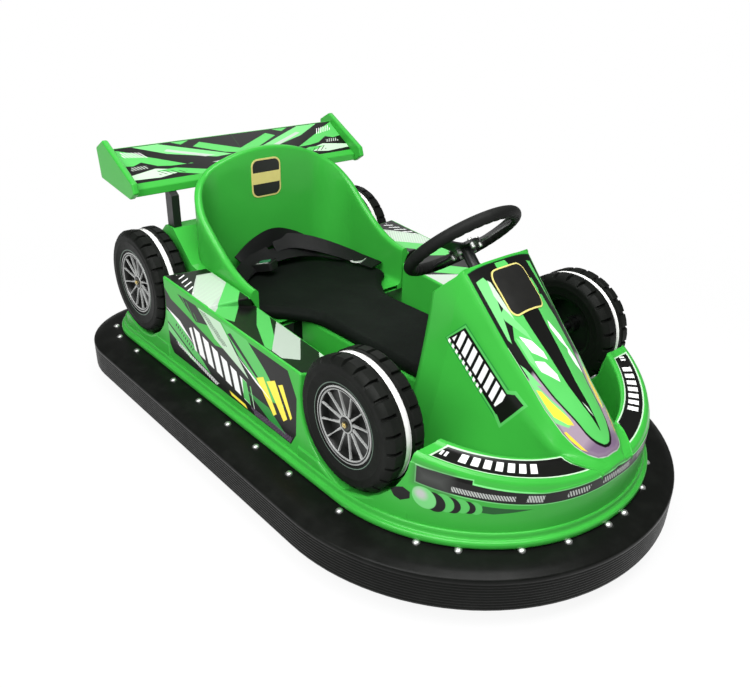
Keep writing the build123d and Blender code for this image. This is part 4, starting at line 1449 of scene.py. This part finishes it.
@dataclass
class FrontFairing:
    """Crescent shelf round the nose, cut at both ends to the front wheels' openings."""

    inner: Outline = Outline(338.0, 727.0, -740.0, 336.0, 90.0)
    stations: int = 44
    # inward share and drop below the shelf: ledge, rolled band, groove, bead, sunk label, inner bead and edge
    profile: Corners = (
        (0.002, 21.5), (0.006, 20.2), (0.018, 19.4), (0.032, 18.6), (0.040, 15.5), (0.054, 10.5), (0.074, 6.2),
        (0.098, 3.4), (0.120, 2.6), (0.136, 2.2), (0.156, 0.9), (0.190, 0.1), (0.222, 0.2), (0.240, 0.9),
        (0.250, 1.7), (0.40, 1.8), (0.60, 1.8), (0.79, 1.8), (0.80, 1), (0.825, 0.1), (0.90, 0), (0.945, 0.6),
        (0.975, 2.6), (0.992, 5.6), (1, 9))

    def path(self, share: float, height: Callable[[float], float]) -> list[Vector]:
        """One line round the nose at a share of the way inwards, ended by the wheel opening.

        Args:
            share: from the outer wall, 0, to the inner one, 1.
            height: the line's height at a station.

        Returns:
            The line's points, evenly spaced, from the right end to the left.
        """
        fine = [Vector((x, y, 0.0)) for x, y in WALL.mixed(self.inner, share).half()]
        line = [fine[0]]
        for a, b in zip(fine, fine[1:]):
            limit = FRONT_AXLE.before(min(height(b.x), FRONT_AXLE.z + ARCH_RISE))
            if b.x < limit:
                held = a.lerp(b, (a.x - limit) / (a.x - b.x)) if a.x > b.x else a
                line.append(held)
                break
            line.append(b)
        lengths = [0.0]
        for a, b in zip(line, line[1:]):
            lengths.append(lengths[-1] + (b - a).length)
        half = []
        for target in spread(0.0, lengths[-1], self.stations):
            k = next((i for i in range(1, len(lengths)) if lengths[i] >= target - 1e-6), len(lengths) - 1)
            run = lengths[k] - lengths[k - 1]
            point = line[k - 1].lerp(line[k], (target - lengths[k - 1]) / run if run else 0.0)
            half.append(Vector((point.x, point.y, height(point.x))))
        return mirrored(half)

    def build(self) -> None:
        """Builds the shelf as a closed section."""
        def dropped(drop: float) -> Callable[[float], float]:
            """A height that is a drop below the shelf; the ledge climbs towards the front."""
            return lambda x: shelf(x) - drop * (1 - 0.56 * smooth_step((x - 735.0) / 58.0) * (drop > 2))

        def level(share: float, drop: float) -> Callable[[float], float]:
            """A height that is a share of the way up a wall to a drop below the shelf."""
            return lambda x: PLINTH_TOP + (dropped(drop)(x) - PLINTH_TOP) * share

        lines = [self.path(0.0, level(k, self.profile[0][1] + 1.0)) for k in spread(0.0, 1.0, 9)]
        lines += [self.path(share, dropped(drop)) for share, drop in self.profile]
        lines += [self.path(1.0, level(k, self.profile[-1][1])) for k in spread(1.0, 0.0, 6)[1:]]
        rows = [list(row) for row in zip(*lines)]
        shape = Shape().bar(rows)
        Piece("fairing", "car", [FAIRING_LIVERY], ["front_fairing"], "body_green", sharp=45).make(shape)


@dataclass
class BucketSeat:
    """One-piece bucket: arched back, rolled rim, arms that sweep down to the pods."""

    half: float = 270.0
    wall: float = 22.0
    back_x: float = -500.0
    front_x: float = -152.0
    corner: float = 110.0
    crown: float = 440.0
    top: float = 702.0
    floor_bottom: float = 292.0
    floor_top: float = 305.5
    # station and height of the rim along each arm
    arm: Corners = (
        (-491, 649), (-464, 625), (-429, 589), (-389, 550), (-344, 511), (-290, 470),
        (-243, 443), (-200, 428), (-170, 422.5), (-152, 421))

    def plan(self) -> list[tuple[Vector, Vector]]:
        """Points along the wall's middle line and their inward directions, from the right arm to the left."""
        half, back, corner = self.half, self.back_x, self.corner
        cx, cy = back + corner, half - corner
        points = [(Vector((x, half, 0)), Vector((0, -1, 0))) for x in spread(self.front_x, cx, 16)]
        for a in spread(math.pi / 2, math.pi, 15)[1:]:
            out = Vector((math.cos(a), math.sin(a), 0))
            points.append((Vector((cx, cy, 0)) + out * corner, -out))
        points += [(Vector((back, y, 0)), Vector((1, 0, 0))) for y in spread(cy, 0, 9)[1:]]
        right = [(Vector((p.x, -p.y, 0)), Vector((n.x, -n.y, 0))) for p, n in points[:-1]]
        return right + points[::-1]

    def rim_height(self, point: Vector) -> float:
        """The rim's height over a point of the plan."""
        y = min(abs(point.y), self.crown - 1)
        arch = self.top - (self.crown - math.sqrt(self.crown ** 2 - y * y))
        if point.x < self.arm[0][0] and abs(point.y) < 215:
            return arch
        return min(arch, along_table(self.arm, point.x)[0])

    def section(self, point: Vector, inward: Vector, top: float) -> list[Vector]:
        """The wall's section: down the outside, over the rim, down the inside and along the floor."""
        half = self.wall / 2
        outer = [(-half, z) for z in spread(self.floor_bottom, top - half, 8)]
        rim = [(-half * math.cos(a), top - half + half * math.sin(a)) for a in spread(0, math.pi, 9)[1:-1]]
        fillet = 16.0
        inner = [(half, z) for z in spread(top - half, self.floor_top + fillet, 10)]
        curve = [(half + fillet * (1 - math.cos(a)), self.floor_top + fillet * (1 - math.sin(a)))
                 for a in spread(0, math.pi / 2, 6)[1:]]
        return [Vector((*(point + inward * d).xy, z)) for d, z in [*outer, *rim, *inner, *curve]]

    def build(self) -> None:
        """Builds the shell and its floor."""
        rows = [self.section(point, inward, self.rim_height(point)) for point, inward in self.plan()]
        shape = Shape().grid(rows)
        for row in (rows[0], rows[-1]):
            shape.cap([*row, Vector((row[-1].x, row[-1].y, self.floor_bottom))])
        shape.cap([row[-1] for row in rows])
        shape.cap([Vector((row[0].x, row[0].y, self.floor_bottom)) for row in rows])
        Piece("seat", "car", [BODY], ["seat_shell"], "body_green", sharp=42).make(shape)
        self.badge()

    def badge(self) -> None:
        """A blank rounded plate on the back: dark field, yellow border and a yellow bar across the middle."""
        x = self.back_x + self.wall / 2
        plate = Shape()
        frame = at((x, 0, 609), (90, "Y"), (90, "Z"))
        plate.prism(rounded(104, 116, 22), frame, 1.2, 1)
        plate.prism(rounded(94, 106, 18), frame @ at((0, 0, 0.2)), 1.6, 0)
        plate.prism([(-50, -17), (50, -17), (50, 17), (-50, 17)], frame @ at((0, 0, 0.4)), 2, 1)
        Piece("seat_badge", "car", [PLATE_INK, PLATE_YELLOW], slot="body_green").make(plate)


def rounded(width: float, height: float, radius: float, steps: int = 6) -> list[Point]:
    """A rectangle with round corners about the origin, anticlockwise."""
    points = []
    for k, (sx, sy) in enumerate(((1, -1), (1, 1), (-1, 1), (-1, -1))):
        cx, cy = sx * (width / 2 - radius), sy * (height / 2 - radius)
        for a in spread(-math.pi / 2 + k * math.pi / 2, k * math.pi / 2, steps):
            points.append((cx + radius * math.cos(a), cy + radius * math.sin(a)))
    return points


# ---- rear deck and wing
@dataclass
class RearDeck:
    """The cover behind the seat that carries the wing's posts."""

    edge: float = 7.0

    def build(self) -> None:
        """Dresses the deck's own solid with rounded edges."""
        dress("rear_deck", BODY, self.edge)


def dress(node: str, finish: Any, bevel: float) -> None:
    """Gives a frame node its finish and edges rounded by a radius in millimetres."""
    piece = bpy.data.objects[node]
    piece.data.materials.clear()
    piece.data.materials.append(made(finish))
    rounded_edges(piece, bevel, 2)


def upright(y: float) -> Matrix:
    """A place whose X and Y axes are the car's X and Z, at a station across the car."""
    return Matrix(((1, 0, 0, 0), (0, 0, -1, y), (0, 1, 0, 0), (0, 0, 0, 1)))


@dataclass
class RearWing:
    """The raised blade, its two end plates and its two square posts."""

    half: float = 392.0
    blade: Corners = ((-681, 707), (-542, 620), (-542, 598), (-677, 687))
    plate: Corners = (
        (-735, 705), (-724, 618), (-545, 594), (-512, 616), (-521, 644), (-686, 732))
    plate_thick: float = 18.0

    def build(self) -> None:
        """Builds the blade and plates, and dresses the posts."""
        blade = Shape().prism(self.blade, upright(self.half), 2 * self.half)
        Piece("wing_blade", "car", [WING_LIVERY], ["spoiler_blade"], "body_green", bevel=3.0).make(blade)
        for side in Side:
            inner = self.half + 0.5
            start = inner + self.plate_thick if side is Side.LEFT else -inner
            plate = Shape().prism(self.plate, upright(start), self.plate_thick)
            Piece(f"wing_plate_{side.label}", "car", [BODY], [f"spoiler_end_plate_{side.label}"], "body_green",
                  bevel=5.0).make(plate)
            dress(f"spoiler_strut_{side.label}", BLACK_STEEL, bevel=2.5)


# ---- seat pad and harness
@dataclass
class SeatPad:
    """The black pad: wide in the bucket, a tongue along the tunnel, softened by a cloth run."""

    thickness: float = 26.0
    shrink: float = 5.0
    voxel: float = 5.0
    steps: int = 14
    pressure: float = 3.0
    limit: float = 7.0

    def outline(self) -> list[Point]:
        """Half of the pad's plan, from the middle of the back to the middle of the tongue's end."""
        s = self.shrink
        half, back, corner = 256.0 - s, -486.0 + s, 92.0
        points = [(back, 0.0), (back, half - corner)]
        cx, cy = back + corner, half - corner
        points += [(cx + corner * math.cos(a), cy + corner * math.sin(a))
                   for a in spread(math.pi, math.pi / 2, 12)[1:]]
        points += [(-300.0, half), (-222.0 - s, half), (-200.0 - s, half - 9), (-190.0 - s, half - 26)]
        # concave shoulder down to the tongue
        points += [(-176.0 - s, 214.0 - s), (-150.0 - s, 190.0 - s), (-118.0 - s, 168.0 - s), (-92, 148.0 - s),
                   (-60, 138.0 - s), (-20, 135.0 - s)]
        points += [(200, 135.0 - s), (402, 135.0 - s), (414.0 - s, 128.0 - s), (418.0 - s, 110)]
        points += [(418.0 - s, 0.0)]
        return points

    def build(self) -> None:
        half = self.outline()
        plan = half + [(x, -y) for x, y in half[-2:0:-1]]
        low, high = frame_mm("seat_pad")
        place = at((0, 0, low.z + 2.0))
        shape = Shape().prism(plan, place, self.thickness)
        piece = Piece("pad", "car", [PAD_VINYL], ["seat_pad"], "pad_fabric", sharp=180).make(shape)
        self.remesh(piece)
        self.inflate(piece, high.z)
        for face in piece.data.polygons:
            face.use_smooth = True

    def remesh(self, piece: bpy.types.Object) -> None:
        """Turns the plain pad into small even faces with rounded edges."""
        rounded_edges(piece, 9.0, 3)
        even = piece.modifiers.new("even", "REMESH")
        even.mode = "VOXEL"
        even.voxel_size = self.voxel * MM
        bake(piece)

    def inflate(self, piece: bpy.types.Object, ceiling: float) -> None:
        """Swells the pad with cloth under pressure, then caps how far each point moved.

        Args:
            piece: the remeshed pad.
            ceiling: the height that the pad's top stays under, in millimetres.
        """
        start = [v.co.copy() for v in piece.data.vertices]
        cloth = piece.modifiers.new("cloth", "CLOTH")
        cloth.settings.use_pressure = True
        cloth.settings.uniform_pressure_force = self.pressure
        cloth.settings.effector_weights.gravity = 0.0
        cloth.settings.quality = 5
        for frame in range(1, self.steps + 1):
            bpy.context.scene.frame_set(frame)
        bake(piece)
        bpy.context.scene.frame_set(1)
        for vertex, old in zip(piece.data.vertices, start):
            step = vertex.co - old
            if step.length > self.limit * MM:
                step = step.normalized() * self.limit * MM
            vertex.co = old + step
            vertex.co.z = min(vertex.co.z, (ceiling + 4.0) * MM)


def bake(piece: bpy.types.Object) -> None:
    """Applies every modifier on a piece to its mesh."""
    graph = bpy.context.evaluated_depsgraph_get()
    mesh = bpy.data.meshes.new_from_object(piece.evaluated_get(graph))
    materials = list(piece.data.materials)
    piece.modifiers.clear()
    piece.data = mesh
    if not mesh.materials:
        for material in materials:
            mesh.materials.append(material)


@dataclass
class Harness:
    """Seat belt heaped at the back of the pad: webbing, two buckles and a crescent clip."""

    width: float = 50.0
    thick: float = 4.0
    # each length's middle line, and how far it is turned on edge at each point, in degrees
    straps: tuple[tuple[str, tuple[Sizes, ...]], ...] = (
        ("harness_lap_right", ((-250, -238, 352, 10), (-330, -214, 350, 4), (-400, -160, 356, 12),
                               (-440, -90, 372, 26), (-450, -20, 384, 34))),
        ("harness_lap_left", ((-230, 226, 352, -6), (-300, 212, 356, -14), (-370, 176, 372, -30),
                              (-424, 120, 392, -44), (-458, 60, 404, -50), (-466, 0, 400, -48))),
        ("harness_fold_low", ((-372, -196, 346, 6), (-420, -128, 358, 16), (-440, -44, 372, 34),
                              (-438, 48, 376, 30), (-414, 130, 362, 10), (-350, 196, 348, -6))),
        ("harness_fold_high", ((-458, -124, 372, 50), (-474, -60, 404, 66), (-476, 10, 424, 76),
                               (-468, 76, 408, 58), (-440, 136, 378, 30), (-396, 184, 358, 10))))

    def strap(self, name: str, path: tuple[Sizes, ...]) -> None:
        """One length of webbing along a path.

        Args:
            name: the piece's name.
            path: the middle line's points and how far the webbing is turned on edge at each.
        """
        line = smooth_line([Vector(p[:3]) for p in path], 6)
        turns = [along_table([(k, p[3]) for k, p in enumerate(path)], t * (len(path) - 1) / (len(line) - 1))[0]
                 for t in range(len(line))]
        rows = []
        for k, point in enumerate(line):
            along = (line[min(k + 1, len(line) - 1)] - line[max(k - 1, 0)]).normalized()
            across = along.cross(Vector((0, 0, 1))).normalized()
            across = Matrix.Rotation(math.radians(turns[k]), 3, along) @ across
            face = across.cross(along)
            w, t = across * self.width / 2, face * self.thick / 2
            rows.append([point + w * a + t * b for a, b in (
                (-1, -1), (-0.4, -1.3), (0.4, -1.3), (1, -1), (1, 1), (0.4, 1.3), (-0.4, 1.3), (-1, 1))])
        Piece(name, "car", [STRAP], slot="pad_fabric", sharp=60).make(Shape().bar(rows))

    def buckle(self, name: str, place: Matrix, size: Point3) -> None:
        """A rounded buckle case with a coloured press button and a slot."""
        w, d, h = size
        case = Shape().prism(rounded(w, d, 9), place, h)
        case.prism(rounded(w * 0.5, d * 0.46, 4), place @ at((0, d * 0.12, 1)), h + 1.2, 1)
        case.prism(rounded(w * 0.62, 4, 1.9), place @ at((0, -d * 0.3, 1)), h + 0.4, 2)
        Piece(name, "car", [TRIM_BLACK, BUTTON_GREEN, SILVER], slot="grip_rubber", bevel=1.4,
              bevel_steps=2).make(case)

    def clip(self) -> None:
        """The bright crescent tongue at the left end."""
        outer = [(30 * math.cos(a), 17 * math.sin(a)) for a in spread(math.pi * 1.02, math.pi * 1.98, 14)]
        inner = [(22 * math.cos(a), 8 * math.sin(a)) for a in spread(math.pi * 1.98, math.pi * 1.02, 14)]
        shape = Shape().prism(outer + inner, at((-292, 203, 357), (75, "Z"), (24, "X")), 3.0)
        Piece("harness_clip", "car", [ZINC], slot="zinc_steel", bevel=0.6, bevel_steps=1).make(shape)

    def build(self) -> None:
        """Lays the whole harness on the pad."""
        for name, path in self.straps:
            self.strap(name, path)
        self.buckle("harness_buckle_right", at((-398, -72, 356), (28, "Z"), (-14, "Y")), (66, 46, 24))
        self.buckle("harness_buckle_left", at((-430, 122, 374), (62, "Z"), (22, "X")), (52, 34, 14))
        self.clip()


BUTTON_GREEN = Plastic("button_green", (0.03, 0.17, 0.07), 0.35)


def smooth_line(points: Sequence[Vector], steps: int) -> list[Vector]:
    """A Catmull-Rom line through the points, with a number of steps between each two."""
    line = []
    for k in range(len(points) - 1):
        before, a, b = points[max(k - 1, 0)], points[k], points[k + 1]
        after = points[min(k + 2, len(points) - 1)]
        for j in range(steps):
            t = j / steps
            line.append(0.5 * (2 * a + (b - before) * t + (2 * before - 5 * a + 4 * b - after) * t * t
                               + (3 * a - before - 3 * b + after) * t ** 3))
    return [*line, points[-1]]


# ---- steering
@dataclass
class SteeringWheel:
    """Scalloped grip, three dished arms, hub plate with bolts, column."""

    centre: Point3 = (313.0, 0.0, 626.0)
    tilt: float = 46.7
    grip_radius: float = 133.5
    tube: float = 14.5
    bumps: int = 36
    drop: float = 13.0
    arm_turns: tuple[float, ...] = (55.0, 175.0, 295.0)

    def __post_init__(self) -> None:
        """Places the wheel's axes, with Z along the column towards the driver."""
        self.place = Matrix.Translation(self.centre) @ Matrix.Rotation(math.radians(self.tilt - 90), 4, "Y")

    def grip(self) -> None:
        """The round grip, fat and matt, with finger bumps on its inner underside."""
        rows = []
        steps = self.bumps * 6
        for k in range(steps):
            around = math.tau * k / steps
            swell = abs(math.sin(around * self.bumps / 2))
            row = []
            for j in range(20):
                a = math.tau * j / 20
                facing = max(0.0, math.cos(a - math.radians(215)))
                r = self.tube - 0.1 - 1.9 * facing ** 1.2 * (1 - swell ** 0.6)
                out = self.grip_radius + r * math.cos(a)
                row.append(self.place @ Vector((out * math.cos(around), out * math.sin(around), r * math.sin(a))))
            rows.append(row)
        shape = Shape().grid(rows, loop=True, ring=True)
        Piece("grip", "steering", [GRIP_FOAM], ["steering_rim"], "grip_rubber", sharp=75).make(shape)

    def arms(self) -> None:
        """The three arms and the hub plate, with bright bolts."""
        shape = Shape()
        for turn in self.arm_turns:
            arm = self.place @ Matrix.Rotation(math.radians(turn), 4, "Z")
            rows = []
            for s in spread(0.0, 1.0, 12):
                x = 20 + (self.grip_radius - self.tube * 0.7 - 20) * s
                bend = smooth_step((s - 0.22) / 0.78)
                z = -self.drop + (self.drop - 5) * bend
                w = 17 - 5 * smooth_step(s * 1.2) + 3 * smooth_step((s - 0.86) / 0.14)
                rows.append([arm @ Vector((x, y, z + h)) for y, h in
                             ((-w, -3.2), (-w + 3, -3.2), (w - 3, -3.2), (w, -3.2), (w, 2.2), (w - 3, 3),
                              (0, 1.2), (-w + 3, 3), (-w, 2.2))])
            shape.bar(rows)
        hub = self.place @ at((0, 0, -self.drop))
        shape.turned([(0.01, -4), (37, -4), (38, -3), (38, 3), (36.5, 4.2), (0.01, 4.2)], hub, 40)
        Piece("spokes", "steering", [BLACK_STEEL], ["steering_spokes"], "black_metal", sharp=38).make(shape)
        bolts = Shape()
        for turn in spread(45, 345, 6):
            spot = hub @ at((0, 0, 0), (turn, "Z")) @ at((33, 0, 3.6))
            bolts.turned([(0.01, 0), (5.2, 0), (5.2, 3.6), (4.4, 4.6), (2.6, 4.8), (2.6, 2.6), (0.01, 2.6)],
                         spot, 18)
            bolts.turned([(0.01, -20), (4.4, -20), (5.2, -19), (5.2, -7.4), (0.01, -7.4)], spot, 16)
        bolts.turned([(0.01, 4), (9, 4), (9, 9), (7.8, 10), (0.01, 10)], hub, 6, 1)
        Piece("spoke_bolts", "steering", [ZINC, BLACK_STEEL], slot="zinc_steel", sharp=30).make(bolts)

    def column(self) -> None:
        """Shaft and the ribbed sleeve at the dash."""
        dress("steering_shaft", BLACK_STEEL, bevel=1.5)
        low = -155.0
        profile = [(11.2, low), (21.6, low), (21.6, low + 10), (23.8, low + 11)]
        for k in range(5):
            z = low + 13 + k * 8
            profile += [(23.8, z), (23.8, z + 3), (22.2, z + 4), (22.2, z + 7), (23.8, z + 8)]
        profile += [(23.8, -97), (21.6, -95.2), (14, -95.2), (11.2, -96.5)]
        shape = Shape().turned(profile, self.place, 40)
        Piece("column_sleeve", "car", [TRIM_BLACK], ["column_housing"], "grip_rubber", sharp=40).make(shape)

    def build(self) -> None:
        """Builds the wheel and its column."""
        self.grip()
        self.arms()
        self.column()


# ---- wheels
@dataclass
class ShowWheel:
    """One show wheel: lugged tyre with a white middle band, spoked rim, hub nut."""

    axle: Axle
    side: Side
    radius: float = 150.0
    width: float = 104.0
    rim: float = 88.0
    lugs: int = 24
    groove: float = 6.0
    lug_lift: float = 3.0
    band: Point = (46.5, 60.5)
    band_drop: float = 3.0

    def __post_init__(self) -> None:
        """Places the wheel's axes: Z out of the car from the wheel's outer face."""
        out = self.side.value
        turn = Matrix(((1, 0, 0, 0), (0, 0, out, 0), (0, -out, 0, 0), (0, 0, 0, 1)))
        self.place = at((self.axle.x, out * self.axle.outer_face, self.axle.z)) @ turn
        self.tail = f"{self.axle.corner.value}_{self.side.label}"
        self.body = f"show_wheel_{self.tail}"

    def tread(self) -> Shape:
        """The tyre from bead to bead, with grooves between its lugs."""
        pitch = math.tau / self.lugs
        depths = [(0.00, 1), (0.02, 1), (0.14, 1), (0.19, 0), (0.55, 0), (0.95, 0)]
        smooth = self.radius - self.lug_lift
        # depth from the outer face, radius, and how much of the groove and of the lug's lift is there
        section = [(deep, self.rim + out, 0, 0) for deep, out in (
            (30, 2.5), (14, 0.6), (6, 0.8), (4.2, 2.4), (3, 5.5), (2.6, 6.5), (2.6, 8.5), (2.1, 9.5))]
        section += [(1.4, 116, 0, 0), (0.4, 118, 0, 0), (0.3, 120.5, 0, 0), (0.9, 122.5, 0, 0),
                    (0.5, 130, 0, 0), (0.9, 135.5, 0, 0), (2.4, 138.4, 0.15, 0), (4.2, 140.6, 0.55, 0.3),
                    (9, 144.6, 0.9, 0.7), (14, smooth, 1, 1), (33, smooth, 1, 1), (34.6, smooth, 0.1, 0.1),
                    (35.6, smooth, 0, 0), (self.band[0] - 1.6, smooth, 0, 0),
                    (self.band[0] - 0.8, smooth - 0.8, 0, 0)]
        far = [(self.width - d, r, g, k) for d, r, g, k in section[8:-1]]
        far = [(self.band[1] + 0.8, smooth - 0.8, 0, 0), *far[::-1], (self.width - 3, self.rim + 9, 0, 0),
               (self.width - 8, self.rim + 1.5, 0, 0), (self.width - 30, self.rim + 2.5, 0, 0)]
        low = smooth - self.band_drop
        band = [(self.band[0], low, 0, 0), (self.band[0] + 1.0, low + 0.4, 0, 0),
                (self.band[1] - 1.0, low + 0.4, 0, 0), (self.band[1], low, 0, 0)]
        section = section + band + far
        rows = []
        for lug in range(self.lugs):
            for share, cut in depths:
                angle = (lug + share) * pitch
                # each lug's crown is flat, so it falls away towards its ends
                flat = self.radius * (1 / math.cos((share - 0.55) * pitch * 0.8) - 1) if share > 0.15 else 0
                row = []
                for deep, radius, groove, lift in section:
                    r = radius + self.lug_lift * lift - groove * cut * (self.groove + self.lug_lift) - flat * lift
                    row.append(self.place @ Vector((r * math.cos(angle), r * math.sin(angle), -deep)))
                rows.append(row)
        shape = Shape().grid(rows, ring=True)
        first = len(section) - len(far) - len(band) - 1
        shape.repaint([5], len(section) - 1, 2)
        shape.repaint(range(first, first + len(band) + 1), len(section) - 1, 1)
        return shape

    def rim_shape(self) -> Shape:
        """Barrel, double bright ring, twelve tapering spokes, dark dish and hub."""
        shape = Shape()
        r = self.rim
        shape.turned([(r + out, z) for out, z in (
            (0.4, -28), (0.4, -5.2), (-0.6, -3.6), (-3.4, -3.4), (-4.4, -5.4), (-6.2, -5.8), (-7, -4.4),
            (-9, -4.6), (-10, -6.4), (-11, -20), (-12, -26), (-10, -80), (0.4, -80))], self.place, 72)
        shape.repaint((1, 2, 6, 7), 13, 1)
        shape.turned([(16, -31), (r - 6, -25), (r - 6, -30), (16, -34)], self.place, 48)
        for k in range(12):
            arm = self.place @ Matrix.Rotation(math.tau * (k + 0.5) / 12, 4, "Z")
            rows = []
            for s in spread(0.0, 1.0, 5):
                x = 13 + (r - 9.6 - 13) * s
                w = 3.4 - 2.2 * smooth_step(s * 1.5) + 1.2 * smooth_step((s - 0.9) / 0.1)
                z = -13.0 + 6.5 * s
                rows.append([arm @ Vector((x, y, z + h)) for y, h in
                             ((-w, -5), (-w, -0.8), (-w * 0.6, 0), (w * 0.6, 0), (w, -0.8), (w, -5))])
            shape.grid(rows, loop=True, paint=1)
        start = len(shape.faces)
        shape.turned([(12, -60), (21, -60), (21, -12), (20.2, -10.4), (17.4, -10.4), (16.6, -11.4),
                      (12.0, -11.4)], self.place, 36)
        shape.repaint((2, 3), 7, 1, start)
        return shape

    def nut(self) -> None:
        """Hub cap with its brass nut, on the wheel."""
        shape = Shape().turned([(0.01, -14), (15.6, -14), (15.6, -11), (13.6, -9.4), (0.01, -9)],
                               self.place, 30)
        shape.turned([(0.01, -9.4), (7.6, -9.4), (7.6, -6), (6.2, -5.2), (0.01, -5.2)], self.place, 6, 1)
        shape.turned([(0.01, -5.4), (3.4, -5.4), (3.4, -3.6), (2.6, -3), (0.01, -3)], self.place, 14, 1)
        Piece(f"hub_cap_{self.tail}", self.body, [RIM_BLACK, BRASS], slot="rim_plastic", sharp=30).make(shape)

    def build(self) -> None:
        """Builds the tyre, the rim and the cap, and dresses the pin."""
        Piece(f"tyre_{self.tail}", self.body, [TYRE_RUBBER, WHITE_BAND, BEAD_GREEN], [f"show_tyre_{self.tail}"],
              "tyre_rubber", sharp=28).make(self.tread())
        Piece(f"rim_{self.tail}", self.body, [RIM_BLACK, SILVER], [f"show_rim_{self.tail}"], "rim_plastic",
              sharp=34).make(self.rim_shape())
        self.nut()
        dress(f"stub_axle_{self.tail}", BLACK_STEEL, bevel=1.0)


@dataclass
class RunningGear:
    """What carries the car: frame, steered drive wheel, trailing wheels, battery."""

    bevels: tuple[tuple[str, Any, float], ...] = (
        ("chassis_frame", BLACK_STEEL, 3.0), ("drive_fork", BLACK_STEEL, 2.0), ("drive_hub", SILVER, 2.0),
        ("drive_tyre", TYRE_RUBBER, 5.0), ("rear_axle", ZINC, 1.0), ("trailing_hub_left", SILVER, 1.5),
        ("trailing_hub_right", SILVER, 1.5), ("trailing_tyre_left", TYRE_RUBBER, 4.0),
        ("trailing_tyre_right", TYRE_RUBBER, 4.0), ("battery_box", BATTERY_CASE, 6.0),
        ("foot_pedal", BLACK_STEEL, 1.5))

    def build(self) -> None:
        """Dresses each node."""
        for node, finish, bevel in self.bevels:
            dress(node, finish, bevel)


def main() -> None:
    """Builds the studio, then every sub-assembly of the car."""
    logging.basicConfig(level=logging.INFO, format="%(message)s")
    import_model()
    Studio().build()
    assemblies = [BumperRing(), BaseTray(), *(SidePod(side) for side in Side), NoseCowl(), FrontFairing(),
                  BucketSeat(), RearDeck(), RearWing(), SeatPad(), Harness(), SteeringWheel(),
                  *(ShowWheel(axle, side) for axle in (FRONT_AXLE, REAR_AXLE) for side in Side), RunningGear()]
    for assembly in assemblies:
        assembly.build()
        LOG.info("built %s", type(assembly).__name__)


if __name__ == "__main__":
    main()
